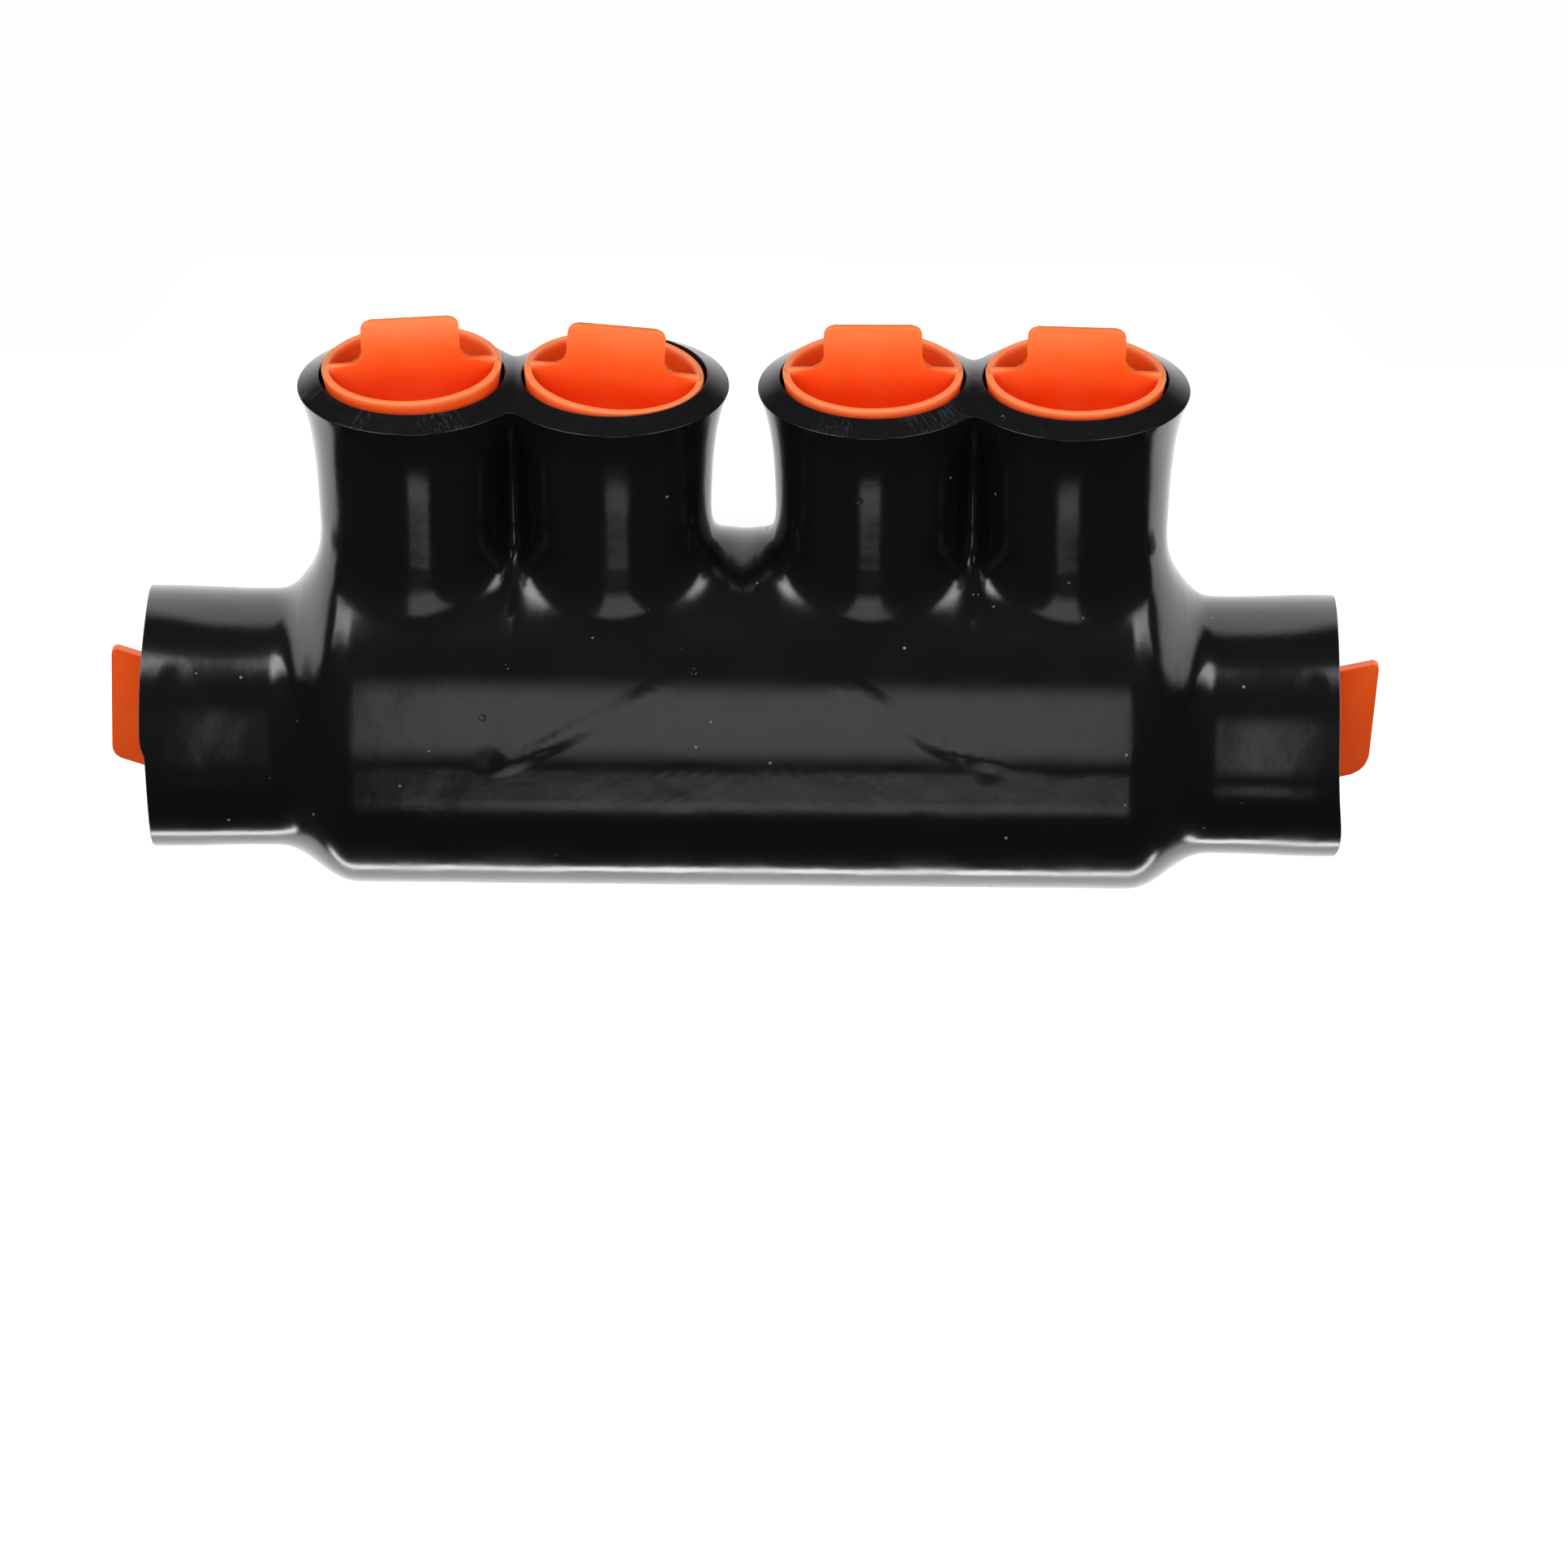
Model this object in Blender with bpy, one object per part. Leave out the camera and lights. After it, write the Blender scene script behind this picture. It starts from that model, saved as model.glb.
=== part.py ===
"""Insulated in-line wire connector.

An aluminium bar takes a wire in each end and clamps it with two set screws. A dip-moulded
cover insulates the bar, with a tube over each wire bore and a chimney over each screw.
Push-in caps close the chimneys and push-in plugs close the tubes.

The connector is built upright about its wire axis: X along the wires, +Z up the chimneys,
-Y the front. It is then laid on its back, as it comes to rest, on its round body and the
rims of its chimneys.
"""

import math
from dataclasses import dataclass, replace

import bmesh
import bpy
import numpy as np
from mathutils import Matrix, Vector

# Sizes in metres
FIT = 0.0003                # gap between pieces that touch

WIRE_RADIUS = 0.0111        # of the bores for the bare wires
WIRE_CHAMFER = 0.0008
BAR_WALL = 0.0085           # round the wire bores
BAR_RISE = 0.0041           # between the centres of the section's two half circles
LAND_CUT = 0.0011           # from the section's top down to the flat land under the screws
BAR_CHAMFER = 0.0010
BAR_END = 0.0101            # from an outer screw's axis to the bar's end
BARRIER = 0.004             # solid wall between the two wire bores

SCREW_RADIUS = 0.00935
SCREW_LENGTH = 0.022
SCREW_CLEAR = 0.0011        # screw tip above the wire bore when backed out
SCREW_CHAMFER = 0.0009
HEX_ACROSS_FLATS = 0.0095
HEX_DEPTH = 0.010

SKIN = 0.0021               # cover wall over the bar
TUBE_REACH = 0.0257         # from the bar's end to the tube's cut end
TUBE_ROOM = 0.0037          # round the bare wire, for its insulation
TUBE_WALL = 0.0027
TUBE_WAIST = 0.0003         # how far the tube draws in beside the shoulder
WAIST_LENGTH = 0.016
SHOULDER_LENGTH = 0.0120    # of the curve from the body down to the tube
SHOULDER_REACH = 0.0091     # from the bar's end to where that curve meets the tube

BORE_ROOM = 0.00085         # round a screw in its chimney
NECK_WALL = 0.0023
NECK_LENGTH = 0.0204        # height of the widening part under the rim
NECK_TAPER = 0.0012         # how much it has widened below its rim
LIP_LENGTH = 0.0065         # height of the flare under the rim
LIP_WIDTH = 0.00305         # from the rim in to the mouth
LIP_RISE = 0.0016           # from the rim up to the mouth
PAIR_LAP = 0.00195          # how far each rim of a pair runs past the middle between them
PAIR_GAP = 0.0033           # between the rims of the two pairs
PAIR_BLEND = 0.0035         # rounding where two chimneys meet
WEB_HALF = 0.0022           # half the thickness of the web between them
WEB_BLEND = 0.0015
BASE_BLEND = 0.0055         # rounding where a chimney leaves the body

CAP_STEP = 0.0015           # how much wider a cap is than its chimney's bore
CAP_DEPTH = 0.0090
KEY_ROOM = 0.0078           # between a screw and the foot of its cap's recess
CAP_STANDS = (0.0013, 0.0004, 0.0008, 0.0007)   # each ring above its chimney's mouth
RECESS_DRAFT = 0.0006       # how much narrower the recess is at the cap's foot
RECESS_STEP = 0.0012        # height of the slope from the recess to the bore
PLUG_RECESSES = (0.0022, 0.0029)    # each ring inside its tube's end
TAB_LEAN = math.radians(28) # the plugs' tabs lean towards the back

# Tilt and turn of each cap and plug in its seat, as they were pushed in
CAP_TILTS = (math.radians(-1.6), math.radians(4.2), math.radians(-0.2), math.radians(0.6))
CAP_TURNS = (math.radians(4.5), math.radians(-1.5), math.radians(0.3), math.radians(-1.5))
PLUG_TILTS = (math.radians(2.0), math.radians(3.5))

# How finely the cover's net is drawn: steps over a quarter of the cover
GAP_STEPS = 3
CHIMNEY_STEPS = 11
TUBE_STEPS = 7
BODY_ROWS = 14
CHIMNEY_ROWS = 7
LID_ROWS = 6
RELAX_PASSES = 40
RELAX_SHARE = 0.5           # of the way to its neighbours' middle that a point goes each time
ROUND_STEPS = 32
CORNER_STEPS = 4

# Sizes and places that follow
BAR_RADIUS = WIRE_RADIUS + BAR_WALL
BAR_LAND = BAR_RADIUS + BAR_RISE - LAND_CUT
BODY_RADIUS = BAR_RADIUS + FIT + SKIN
TUBE_BORE = WIRE_RADIUS + TUBE_ROOM
TUBE_RADIUS = TUBE_BORE + TUBE_WALL
CHIMNEY_BORE = SCREW_RADIUS + BORE_ROOM
NECK_RADIUS = CHIMNEY_BORE + NECK_WALL
CAP_RADIUS = CHIMNEY_BORE + CAP_STEP
MOUTH_RADIUS = CAP_RADIUS + FIT
RIM_RADIUS = MOUTH_RADIUS + LIP_WIDTH
SCREW_SPACING = 2 * (RIM_RADIUS - PAIR_LAP)
PAIR_OFFSET = SCREW_SPACING / 2 + RIM_RADIUS + PAIR_GAP / 2
CHIMNEYS = (
    -PAIR_OFFSET - SCREW_SPACING / 2,
    -PAIR_OFFSET + SCREW_SPACING / 2,
    PAIR_OFFSET - SCREW_SPACING / 2,
    PAIR_OFFSET + SCREW_SPACING / 2,
)
BAR_LENGTH = 2 * (CHIMNEYS[-1] + BAR_END)
SHOULDER_END = BAR_LENGTH / 2 + SHOULDER_REACH
PORT_SPAN = BAR_LENGTH + 2 * TUBE_REACH
SCREW_TIP = WIRE_RADIUS + SCREW_CLEAR
MOUTH_HEIGHT = SCREW_TIP + SCREW_LENGTH + KEY_ROOM + CAP_DEPTH
RIM_HEIGHT = MOUTH_HEIGHT - LIP_RISE
LIP_SLOPE = LIP_RISE / LIP_WIDTH
LIP_FLARE = RIM_RADIUS - NECK_RADIUS - NECK_TAPER
PAST = 0.002                # how far a cutter runs past what it cuts
PAST_RIM = 1.5              # how far the flare is carried on past the rim
STEP = 1e-6                 # for slopes of the cover's surface
WEB_LEDGE = 3               # row of a web's outline where its ledge meets the tab


@dataclass(frozen=True)
class PushCap:
    """A push-in cup with a web across it and a grip tab on the web."""

    radius: float           # of the ring, outside
    depth: float
    draft: float            # how much narrower the cup's foot is
    wall: float
    web: float              # thickness of the web and tab
    web_rise: float         # web above the ring
    tab_width: float
    tab_height: float       # tab above the web
    tab_corners: tuple      # radius of the tip's corners at -X and +X
    tab_fillet: float
    lean: float             # tab out of upright, in radians
    foot_chamfer: float = 0.0007
    ring_chamfer: float = 0.0002
    ledge_depth: float = 0.0029     # of the step in the cup's inside
    ledge: float = 0.0012


SCREW_CAP = PushCap(
    radius=CAP_RADIUS, depth=CAP_DEPTH, draft=0.0015, wall=0.0010, web=0.0010, web_rise=0.0004,
    tab_width=0.0127, tab_height=0.0060, tab_corners=(0.0013, 0.0013), tab_fillet=0.0011, lean=0.0,
)
LEFT_PLUG = PushCap(
    radius=TUBE_BORE - FIT, depth=0.0110, draft=0.0016, wall=0.0012, web=0.0014, web_rise=0.0003,
    tab_width=0.0164, tab_height=0.0084, tab_corners=(0.0020, 0.0010), tab_fillet=0.0013, lean=TAB_LEAN,
)
RIGHT_PLUG = replace(LEFT_PLUG, tab_corners=(0.0010, 0.0024))


def clear_scene():
    """Remove every object that the scene starts with."""
    for item in list(bpy.data.objects):
        bpy.data.objects.remove(item, do_unlink=True)


def material(name, colour, roughness, metallic):
    """Return a Principled material of one colour."""
    made = bpy.data.materials.new(name)
    made.use_nodes = True
    shader = made.node_tree.nodes["Principled BSDF"]
    shader.inputs["Base Color"].default_value = (*colour, 1.0)
    shader.inputs["Roughness"].default_value = roughness
    shader.inputs["Metallic"].default_value = metallic
    return made


def add_mesh(name, form, frame, finish=None):
    """Turn a bmesh into an object under the rest frame, and free the bmesh."""
    bmesh.ops.recalc_face_normals(form, faces=form.faces)
    mesh = bpy.data.meshes.new(name)
    form.to_mesh(mesh)
    form.free()
    mesh.shade_smooth()
    mesh.set_sharp_from_angle(angle=math.radians(35))
    item = bpy.data.objects.new(name, mesh)
    bpy.context.scene.collection.objects.link(item)
    item.parent = frame
    if finish:
        mesh.materials.append(finish)
    return item


def add_boolean(item, other, operation):
    """Combine an object with a helper, which is then only a guide."""
    modifier = item.modifiers.new(f"{operation.lower()}_{other.name}", "BOOLEAN")
    modifier.operation = operation
    modifier.object = other
    other.hide_render = True
    other.display_type = "WIRE"


def revolve(profile, steps=ROUND_STEPS):
    """Return a bmesh of a profile of (radius, height) turned about Z, closed at both ends."""
    form = bmesh.new()
    rings = []
    for radius, height in profile:
        if radius == 0:
            rings.append([form.verts.new((0, 0, height))])
            continue
        angles = [2 * math.pi * i / steps for i in range(steps)]
        rings.append([form.verts.new((radius * math.cos(a), radius * math.sin(a), height)) for a in angles])
    for low, high in zip(rings, rings[1:]):
        for i in range(steps):
            lower = (low[i % len(low)], low[(i + 1) % len(low)])
            upper = (high[(i + 1) % len(high)], high[i % len(high)])
            form.faces.new(list(dict.fromkeys(lower + upper)))
    return form


def lay_along_x(form, outward):
    """Turn a form from +Z to +X or -X."""
    turn = Matrix.Rotation(outward * math.pi / 2, 4, "Y")
    bmesh.ops.transform(form, matrix=turn, verts=form.verts)
    return form


def stadium(radius, rise, land, steps=ROUND_STEPS):
    """Return the (y, z) outline of the bar's section: two half circles with a flat land on top."""
    half, side = steps // 2, steps // 4
    edge = math.asin((land - rise) / radius)
    bottom = [math.pi * (1 + i / half) for i in range(half + 1)]
    right = [edge * i / side for i in range(side + 1)]
    left = [math.pi - edge * i / (side - 1) for i in range(side - 1, 0, -1)]
    outline = [(radius * math.cos(angle), radius * math.sin(angle)) for angle in bottom]
    outline += [(radius * math.cos(angle), rise + radius * math.sin(angle)) for angle in right + left]
    return outline


def bar_form(offset):
    """Return a bmesh of the bar, its ends chamfered, grown on all sides by an offset."""
    form = bmesh.new()
    full, half = BAR_RADIUS + offset, BAR_LENGTH / 2 + offset
    rings = []
    inner = half - BAR_CHAMFER
    for x, inset in ((-half, BAR_CHAMFER), (-inner, 0), (inner, 0), (half, BAR_CHAMFER)):
        outline = stadium(full - inset, BAR_RISE, BAR_LAND + offset - inset)
        rings.append([form.verts.new((x, y, z)) for y, z in outline])
    form.faces.new(rings[0])
    form.faces.new(reversed(rings[-1]))
    for near, far in zip(rings, rings[1:]):
        for i in range(len(near)):
            j = (i + 1) % len(near)
            form.faces.new((near[j], near[i], far[i], far[j]))
    return form


def ease(value):
    """Return a smooth step from 0 to 1 with level ends."""
    t = np.clip(value, 0.0, 1.0)
    return t * t * t * (t * (6 * t - 15) + 10)


def smooth_min(a, b, blend):
    """Return the lower of a and b, rounded where they are closer than blend."""
    overlap = np.maximum(blend - np.abs(a - b), 0.0) / blend
    return np.minimum(a, b) - overlap ** 3 * blend / 6


def tube_radius(along):
    """Return the tube's outer radius at a distance from the middle of the cover."""
    waist = np.clip((along - SHOULDER_END) / WAIST_LENGTH, 0.0, 1.0)
    return TUBE_RADIUS - TUBE_WAIST * (1 - ease(waist))


def chimney_radius(height):
    """Return a chimney's outer radius at a height above the wire axis."""
    taper = np.clip(1 - (RIM_HEIGHT - height) / NECK_LENGTH, 0.0, PAST_RIM)
    lip = np.clip(1 - (RIM_HEIGHT - height) / LIP_LENGTH, 0.0, PAST_RIM)
    return NECK_RADIUS + NECK_TAPER * taper + LIP_FLARE * lip ** 1.5


def cover_distance(points):
    """Return how far each point is outside the cover's skin: body, tubes and chimneys, blended."""
    along, y, z = np.abs(points[:, 0]), points[:, 1], points[:, 2]
    body = ease((SHOULDER_END - along) / SHOULDER_LENGTH)
    radius = tube_radius(along) + (BODY_RADIUS - tube_radius(along)) * body
    centre = np.clip(z, 0.0, BAR_RISE * body)
    trunk = np.hypot(y, z - centre) - radius

    across = along - PAIR_OFFSET
    inner = np.hypot(across + SCREW_SPACING / 2, y) - chimney_radius(z)
    outer = np.hypot(across - SCREW_SPACING / 2, y) - chimney_radius(z)
    pair = smooth_min(inner, outer, PAIR_BLEND)
    web = np.maximum(np.abs(y) - WEB_HALF, np.abs(across) - SCREW_SPACING / 2)
    pair = smooth_min(pair, web, WEB_BLEND)
    return smooth_min(trunk, np.maximum(pair, -z), BASE_BLEND)


def cover_slope(points):
    """Return the gradient of the cover's distance at each point."""
    slope = np.empty_like(points)
    for axis in range(3):
        offset = np.zeros(3)
        offset[axis] = STEP
        rise = cover_distance(points + offset) - cover_distance(points - offset)
        slope[:, axis] = rise / (2 * STEP)
    return slope


def drop_on_cover(points, free=(1.0, 1.0, 1.0), passes=4):
    """Move points onto the cover's skin along its slope, only along the free axes."""
    for _ in range(passes):
        slope = cover_slope(points) * np.asarray(free)
        size = np.maximum((slope ** 2).sum(axis=1), 1e-3)
        points = points - slope * (cover_distance(points) / size)[:, None]
    return points


def lip_height(points):
    """Return the height of the sloping lip round the two mouths of a pair."""
    across = np.abs(points[:, 0]) - PAIR_OFFSET
    reach = [np.hypot(across + side * SCREW_SPACING / 2, points[:, 1]) for side in (1, -1)]
    cones = [-LIP_SLOPE * (np.maximum(r, MOUTH_RADIUS - PAST) - MOUTH_RADIUS) for r in reach]
    return MOUTH_HEIGHT - smooth_min(-cones[0], -cones[1], WEB_BLEND)


def rim_point(centre, angle):
    """Return the point of a chimney's rim in a direction round its axis."""
    point = np.array([[centre + RIM_RADIUS * math.cos(angle), -RIM_RADIUS * math.sin(angle), RIM_HEIGHT]])
    for _ in range(6):
        point[:, 2] = lip_height(point)
        point = drop_on_cover(point, free=(1.0, 1.0, 0.0), passes=1)
    point[:, 2] = lip_height(point)
    return point[0]


def chimney_columns():
    """Return a quarter's columns that climb a chimney, as (foot x, rim point, is in the valley)."""
    columns = []
    saddle = math.acos(SCREW_SPACING / 2 / RIM_RADIUS)
    half = PAIR_OFFSET - SCREW_SPACING / 2, PAIR_OFFSET + SCREW_SPACING / 2
    for i in range(CHIMNEY_STEPS + 1):
        angle = math.pi + (saddle - math.pi) * i / CHIMNEY_STEPS
        foot = half[0] + SCREW_SPACING / 2 * (2 * i / CHIMNEY_STEPS - 1)
        columns.append((foot, rim_point(half[0], angle), i == CHIMNEY_STEPS))
    for i in range(1, CHIMNEY_STEPS + 1):
        angle = (math.pi - saddle) * (1 - i / CHIMNEY_STEPS)
        foot = half[1] + SCREW_SPACING / 2 * (2 * i / CHIMNEY_STEPS - 1)
        columns.append((foot, rim_point(half[1], angle), False))
    return columns


def body_point(x, turn):
    """Return a point of the plain body: turn runs from 0 at the bottom to 1 at the top."""
    angle = math.pi * (turn - 0.5)
    rise = BAR_RISE * max(0.0, math.sin(angle))
    return (x, -BODY_RADIUS * math.cos(angle), BODY_RADIUS * math.sin(angle) + rise)


def quarter_net():
    """Return the front right quarter of the cover as columns of points, with the chimneys' columns."""
    foot_reach = BASE_BLEND / 2
    climbing = chimney_columns()
    first, last = climbing[0][0] - foot_reach / 2, climbing[-1][0] + foot_reach / 2
    columns = []
    for i in range(GAP_STEPS):
        x = first * i / GAP_STEPS
        columns.append([body_point(x, row / BODY_ROWS) for row in range(BODY_ROWS + 1)])
    for foot, rim, _ in climbing:
        centre = PAIR_OFFSET + math.copysign(SCREW_SPACING / 2, foot - PAIR_OFFSET)
        outward = Vector((rim[0] - centre, rim[1])).normalized()
        base_x = centre + outward.x * (NECK_RADIUS + foot_reach)
        base_y = outward.y * (NECK_RADIUS + foot_reach)
        turn = 0.5 + math.acos(min(1.0, -base_y / BODY_RADIUS)) / math.pi
        column = []
        for row in range(BODY_ROWS + 1):
            share = row / BODY_ROWS
            column.append(body_point(foot + (base_x - foot) * share ** 2, turn * share))
        base = Vector(column[-1])
        for row in range(1, CHIMNEY_ROWS + 1):
            column.append(tuple(base.lerp(Vector(rim), row / CHIMNEY_ROWS)))
        columns.append(column)
    for i in range(1, TUBE_STEPS + 1):
        x = last + (PORT_SPAN / 2 - last) * i / TUBE_STEPS
        columns.append([body_point(x, row / BODY_ROWS) for row in range(BODY_ROWS + 1)])
    return columns


def add_quarter(form, columns, sign_x, sign_y, held):
    """Add one mirrored quarter of the net, with its lid strips, to the cover."""
    first, last = GAP_STEPS, GAP_STEPS + 2 * CHIMNEY_STEPS
    net = []
    for number, column in enumerate(columns):
        made = [form.verts.new((sign_x * x, sign_y * y, z)) for x, y, z in column]
        if number == len(columns) - 1:
            for vert in made:
                vert[held] = 1
        if first <= number <= last:
            made[-1][held] = 1
        if number == first + CHIMNEY_STEPS:
            for vert in made[BODY_ROWS:-1]:
                vert[held] = 2
        net.append(made)
    for number, (left, right) in enumerate(zip(net, net[1:])):
        rows = min(len(left), len(right)) - 1
        for row in range(rows):
            form.faces.new((left[row], right[row], right[row + 1], left[row + 1]))
    if sign_y > 0:
        add_lid(form, columns[first:last + 1], sign_x, held)


def add_lid(form, climbing, sign_x, held):
    """Close the top of a pair of chimneys with strips from the front of the rim to the back."""
    lanes = []
    for column in climbing:
        x, y, _ = column[-1]
        lane = []
        for i in range(LID_ROWS + 1):
            place = np.array([[x, y * (1 - 2 * i / LID_ROWS), 0.0]])
            height = float(lip_height(place)[0])
            vert = form.verts.new((sign_x * x, float(place[0, 1]), height))
            vert[held] = 1
            lane.append(vert)
        lanes.append(lane)
    for left, right in zip(lanes, lanes[1:]):
        for i in range(LID_ROWS):
            form.faces.new((left[i], right[i], right[i + 1], left[i + 1]))


def relax_on_cover(form, held):
    """Even out the net on the cover's skin, keeping rims, lids and ends where they are."""
    form.verts.index_update()
    points = np.array([vert.co[:] for vert in form.verts])
    marks = np.array([vert[held] for vert in form.verts])
    pairs = np.array([[edge.verts[0].index, edge.verts[1].index] for edge in form.edges])
    count = np.bincount(pairs.ravel(), minlength=len(points))[:, None]
    loose, valley, fixed = marks != 1, marks == 2, marks == 1
    ends = np.abs(points[:, 0]) > PORT_SPAN / 2 - STEP
    points[ends] = drop_on_cover(points[ends], free=(0.0, 1.0, 1.0), passes=8)
    points[loose] = drop_on_cover(points[loose], passes=8)
    for _ in range(RELAX_PASSES):
        total = np.zeros_like(points)
        np.add.at(total, pairs[:, 0], points[pairs[:, 1]])
        np.add.at(total, pairs[:, 1], points[pairs[:, 0]])
        moved = np.where(fixed[:, None], points, points + RELAX_SHARE * (total / count - points))
        moved[valley, 0] = np.sign(points[valley, 0]) * PAIR_OFFSET
        moved[loose] = drop_on_cover(moved[loose], passes=1)
        points = moved
    points[loose] = drop_on_cover(points[loose])
    for vert, place in zip(form.verts, points):
        vert.co = place


def cover_form():
    """Return the cover's outer form as a closed bmesh, without its hollows."""
    form = bmesh.new()
    held = form.verts.layers.int.new("held")
    columns = quarter_net()
    for sign_x in (1, -1):
        for sign_y in (1, -1):
            add_quarter(form, columns, sign_x, sign_y, held)
    bmesh.ops.remove_doubles(form, verts=form.verts, dist=STEP)
    open_edges = [edge for edge in form.edges if edge.is_boundary]
    bmesh.ops.holes_fill(form, edges=open_edges)
    bmesh.ops.dissolve_degenerate(form, edges=form.edges, dist=STEP)
    relax_on_cover(form, held)
    return form


def chimney_bore_profile():
    """Return the profile that a chimney's inside is cut by, from inside the bar's seat up."""
    foot = MOUTH_HEIGHT + min(CAP_STANDS) - CAP_DEPTH - 2 * FIT
    recess = MOUTH_RADIUS - RECESS_DRAFT
    return [
        (0, BAR_LAND / 2),
        (CHIMNEY_BORE, BAR_LAND / 2),
        (CHIMNEY_BORE, foot - RECESS_STEP),
        (recess, foot),
        (MOUTH_RADIUS, MOUTH_HEIGHT),
        (MOUTH_RADIUS, MOUTH_HEIGHT + PAST),
        (0, MOUTH_HEIGHT + PAST),
    ]


def make_cover(frame, finish):
    """Make the moulded cover: the blended outer form, less the bar's seat and the bores."""
    cover = add_mesh("cover", cover_form(), frame, finish)
    seat = add_mesh("seat_cutter", bar_form(FIT), frame)
    add_boolean(cover, seat, "DIFFERENCE")
    half = PORT_SPAN / 2 + PAST
    tube_profile = [(0, -half), (TUBE_BORE, -half), (TUBE_BORE, half), (0, half)]
    tube = add_mesh("tube_cutter", lay_along_x(revolve(tube_profile), 1), frame)
    add_boolean(cover, tube, "DIFFERENCE")
    for number, x in enumerate(CHIMNEYS, 1):
        bore = add_mesh(f"chimney_cutter_{number}", revolve(chimney_bore_profile()), frame)
        bore.location.x = x
        add_boolean(cover, bore, "DIFFERENCE")
    return cover


def make_connector_body(frame, finish):
    """Make the aluminium bar with its two wire bores and four screw holes."""
    bar = add_mesh("connector_body", bar_form(0), frame, finish)
    mouth = BAR_LENGTH / 2
    bore_profile = [
        (0, BARRIER / 2),
        (WIRE_RADIUS, BARRIER / 2),
        (WIRE_RADIUS, mouth - WIRE_CHAMFER),
        (WIRE_RADIUS + WIRE_CHAMFER + PAST, mouth + PAST),
        (0, mouth + PAST),
    ]
    for name, outward in (("left", -1), ("right", 1)):
        bore = add_mesh(f"wire_cutter_{name}", lay_along_x(revolve(bore_profile), outward), frame)
        add_boolean(bar, bore, "DIFFERENCE")
    hole = SCREW_RADIUS + FIT
    hole_profile = [(0, 0), (hole, 0), (hole, BAR_LAND + PAST), (0, BAR_LAND + PAST)]
    for number, x in enumerate(CHIMNEYS, 1):
        cutter = add_mesh(f"hole_cutter_{number}", revolve(hole_profile), frame)
        cutter.location.x = x
        add_boolean(bar, cutter, "DIFFERENCE")
    return bar


def make_set_screw(number, x, frame, finish):
    """Make one set screw, backed out clear of the wire bore, with its origin on its axis."""
    body = SCREW_RADIUS - SCREW_CHAMFER
    profile = [
        (0, 0),
        (body, 0),
        (SCREW_RADIUS, SCREW_CHAMFER),
        (SCREW_RADIUS, SCREW_LENGTH - SCREW_CHAMFER),
        (body, SCREW_LENGTH),
        (0, SCREW_LENGTH),
    ]
    screw = add_mesh(f"set_screw_{number}", revolve(profile), frame, finish)
    screw.location = (x, 0, SCREW_TIP)
    corner = HEX_ACROSS_FLATS / 2 / math.cos(math.pi / 6)
    bottom, top = SCREW_LENGTH - HEX_DEPTH, SCREW_LENGTH + PAST
    hexagon = revolve([(0, bottom), (corner, bottom), (corner, top), (0, top)], steps=6)
    socket = add_mesh(f"socket_cutter_{number}", hexagon, frame)
    socket.location = screw.location
    add_boolean(screw, socket, "DIFFERENCE")
    return screw


def cup_profile(cap):
    """Return a push-in cup's section, from the middle of its underside round to its floor."""
    foot = cap.radius - cap.draft
    inside = cap.radius - cap.wall
    return [
        (0, -cap.depth),
        (foot - cap.foot_chamfer, -cap.depth),
        (foot, -cap.depth + cap.foot_chamfer),
        (cap.radius, -cap.ring_chamfer),
        (cap.radius - cap.ring_chamfer, 0),
        (inside, 0),
        (inside, -cap.ledge_depth),
        (inside - cap.ledge, -cap.ledge_depth),
        (foot - cap.wall, -cap.depth + cap.wall),
        (0, -cap.depth + cap.wall),
    ]


def corner_inset(radius, drop):
    """Return how far a rounded corner draws a tab's side in, at a depth below its tip."""
    short = max(0.0, radius - drop)
    return radius - math.sqrt(radius ** 2 - short ** 2)


def web_outline(cap):
    """Return the web and tab as (height, -X reach, +X reach) from the cup's floor to the tip."""
    inside = cap.radius - cap.wall / 2
    narrow = inside - cap.draft
    half, top = cap.tab_width / 2, cap.web_rise + cap.tab_height
    rows = [(-cap.depth + cap.wall / 2, narrow), (-cap.wall / 2, inside), (cap.web_rise, inside)]
    turns = [math.pi / 2 * i / CORNER_STEPS for i in range(CORNER_STEPS + 1)]
    for angle in turns:
        rise = cap.tab_fillet * (1 - math.cos(angle))
        rows.append((cap.web_rise + rise, half + cap.tab_fillet * (1 - math.sin(angle))))
    rows = [(height, reach, reach) for height, reach in rows]
    drops = {corner * (1 - math.sin(angle)) for corner in cap.tab_corners for angle in turns}
    for drop in sorted(drops, reverse=True):
        near, far = (half - corner_inset(corner, drop) for corner in cap.tab_corners)
        rows.append((top - drop, near, far))
    return rows


def web_form(cap):
    """Return a bmesh of the web and tab, the tab leaning towards +Y from the web up."""
    form = bmesh.new()
    rings = []
    for height, near, far in web_outline(cap):
        above = max(0.0, height - cap.web_rise)
        back = above * math.sin(cap.lean)
        z = height - above * (1 - math.cos(cap.lean))
        corners = ((-near, -1), (far, -1), (far, 1), (-near, 1))
        rings.append([form.verts.new((x, back + side * cap.web / 2, z)) for x, side in corners])
    form.faces.new(rings[0])
    form.faces.new(rings[-1])
    for low, high in zip(rings, rings[1:]):
        for i, j in ((1, 2), (3, 0)):
            form.faces.new((low[i], low[j], high[j], high[i]))
    for part in (rings[:WEB_LEDGE + 1], rings[WEB_LEDGE:]):
        for i, j in ((0, 1), (2, 3)):
            form.faces.new([ring[j] for ring in part] + [ring[i] for ring in reversed(part)])
    return form


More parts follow.
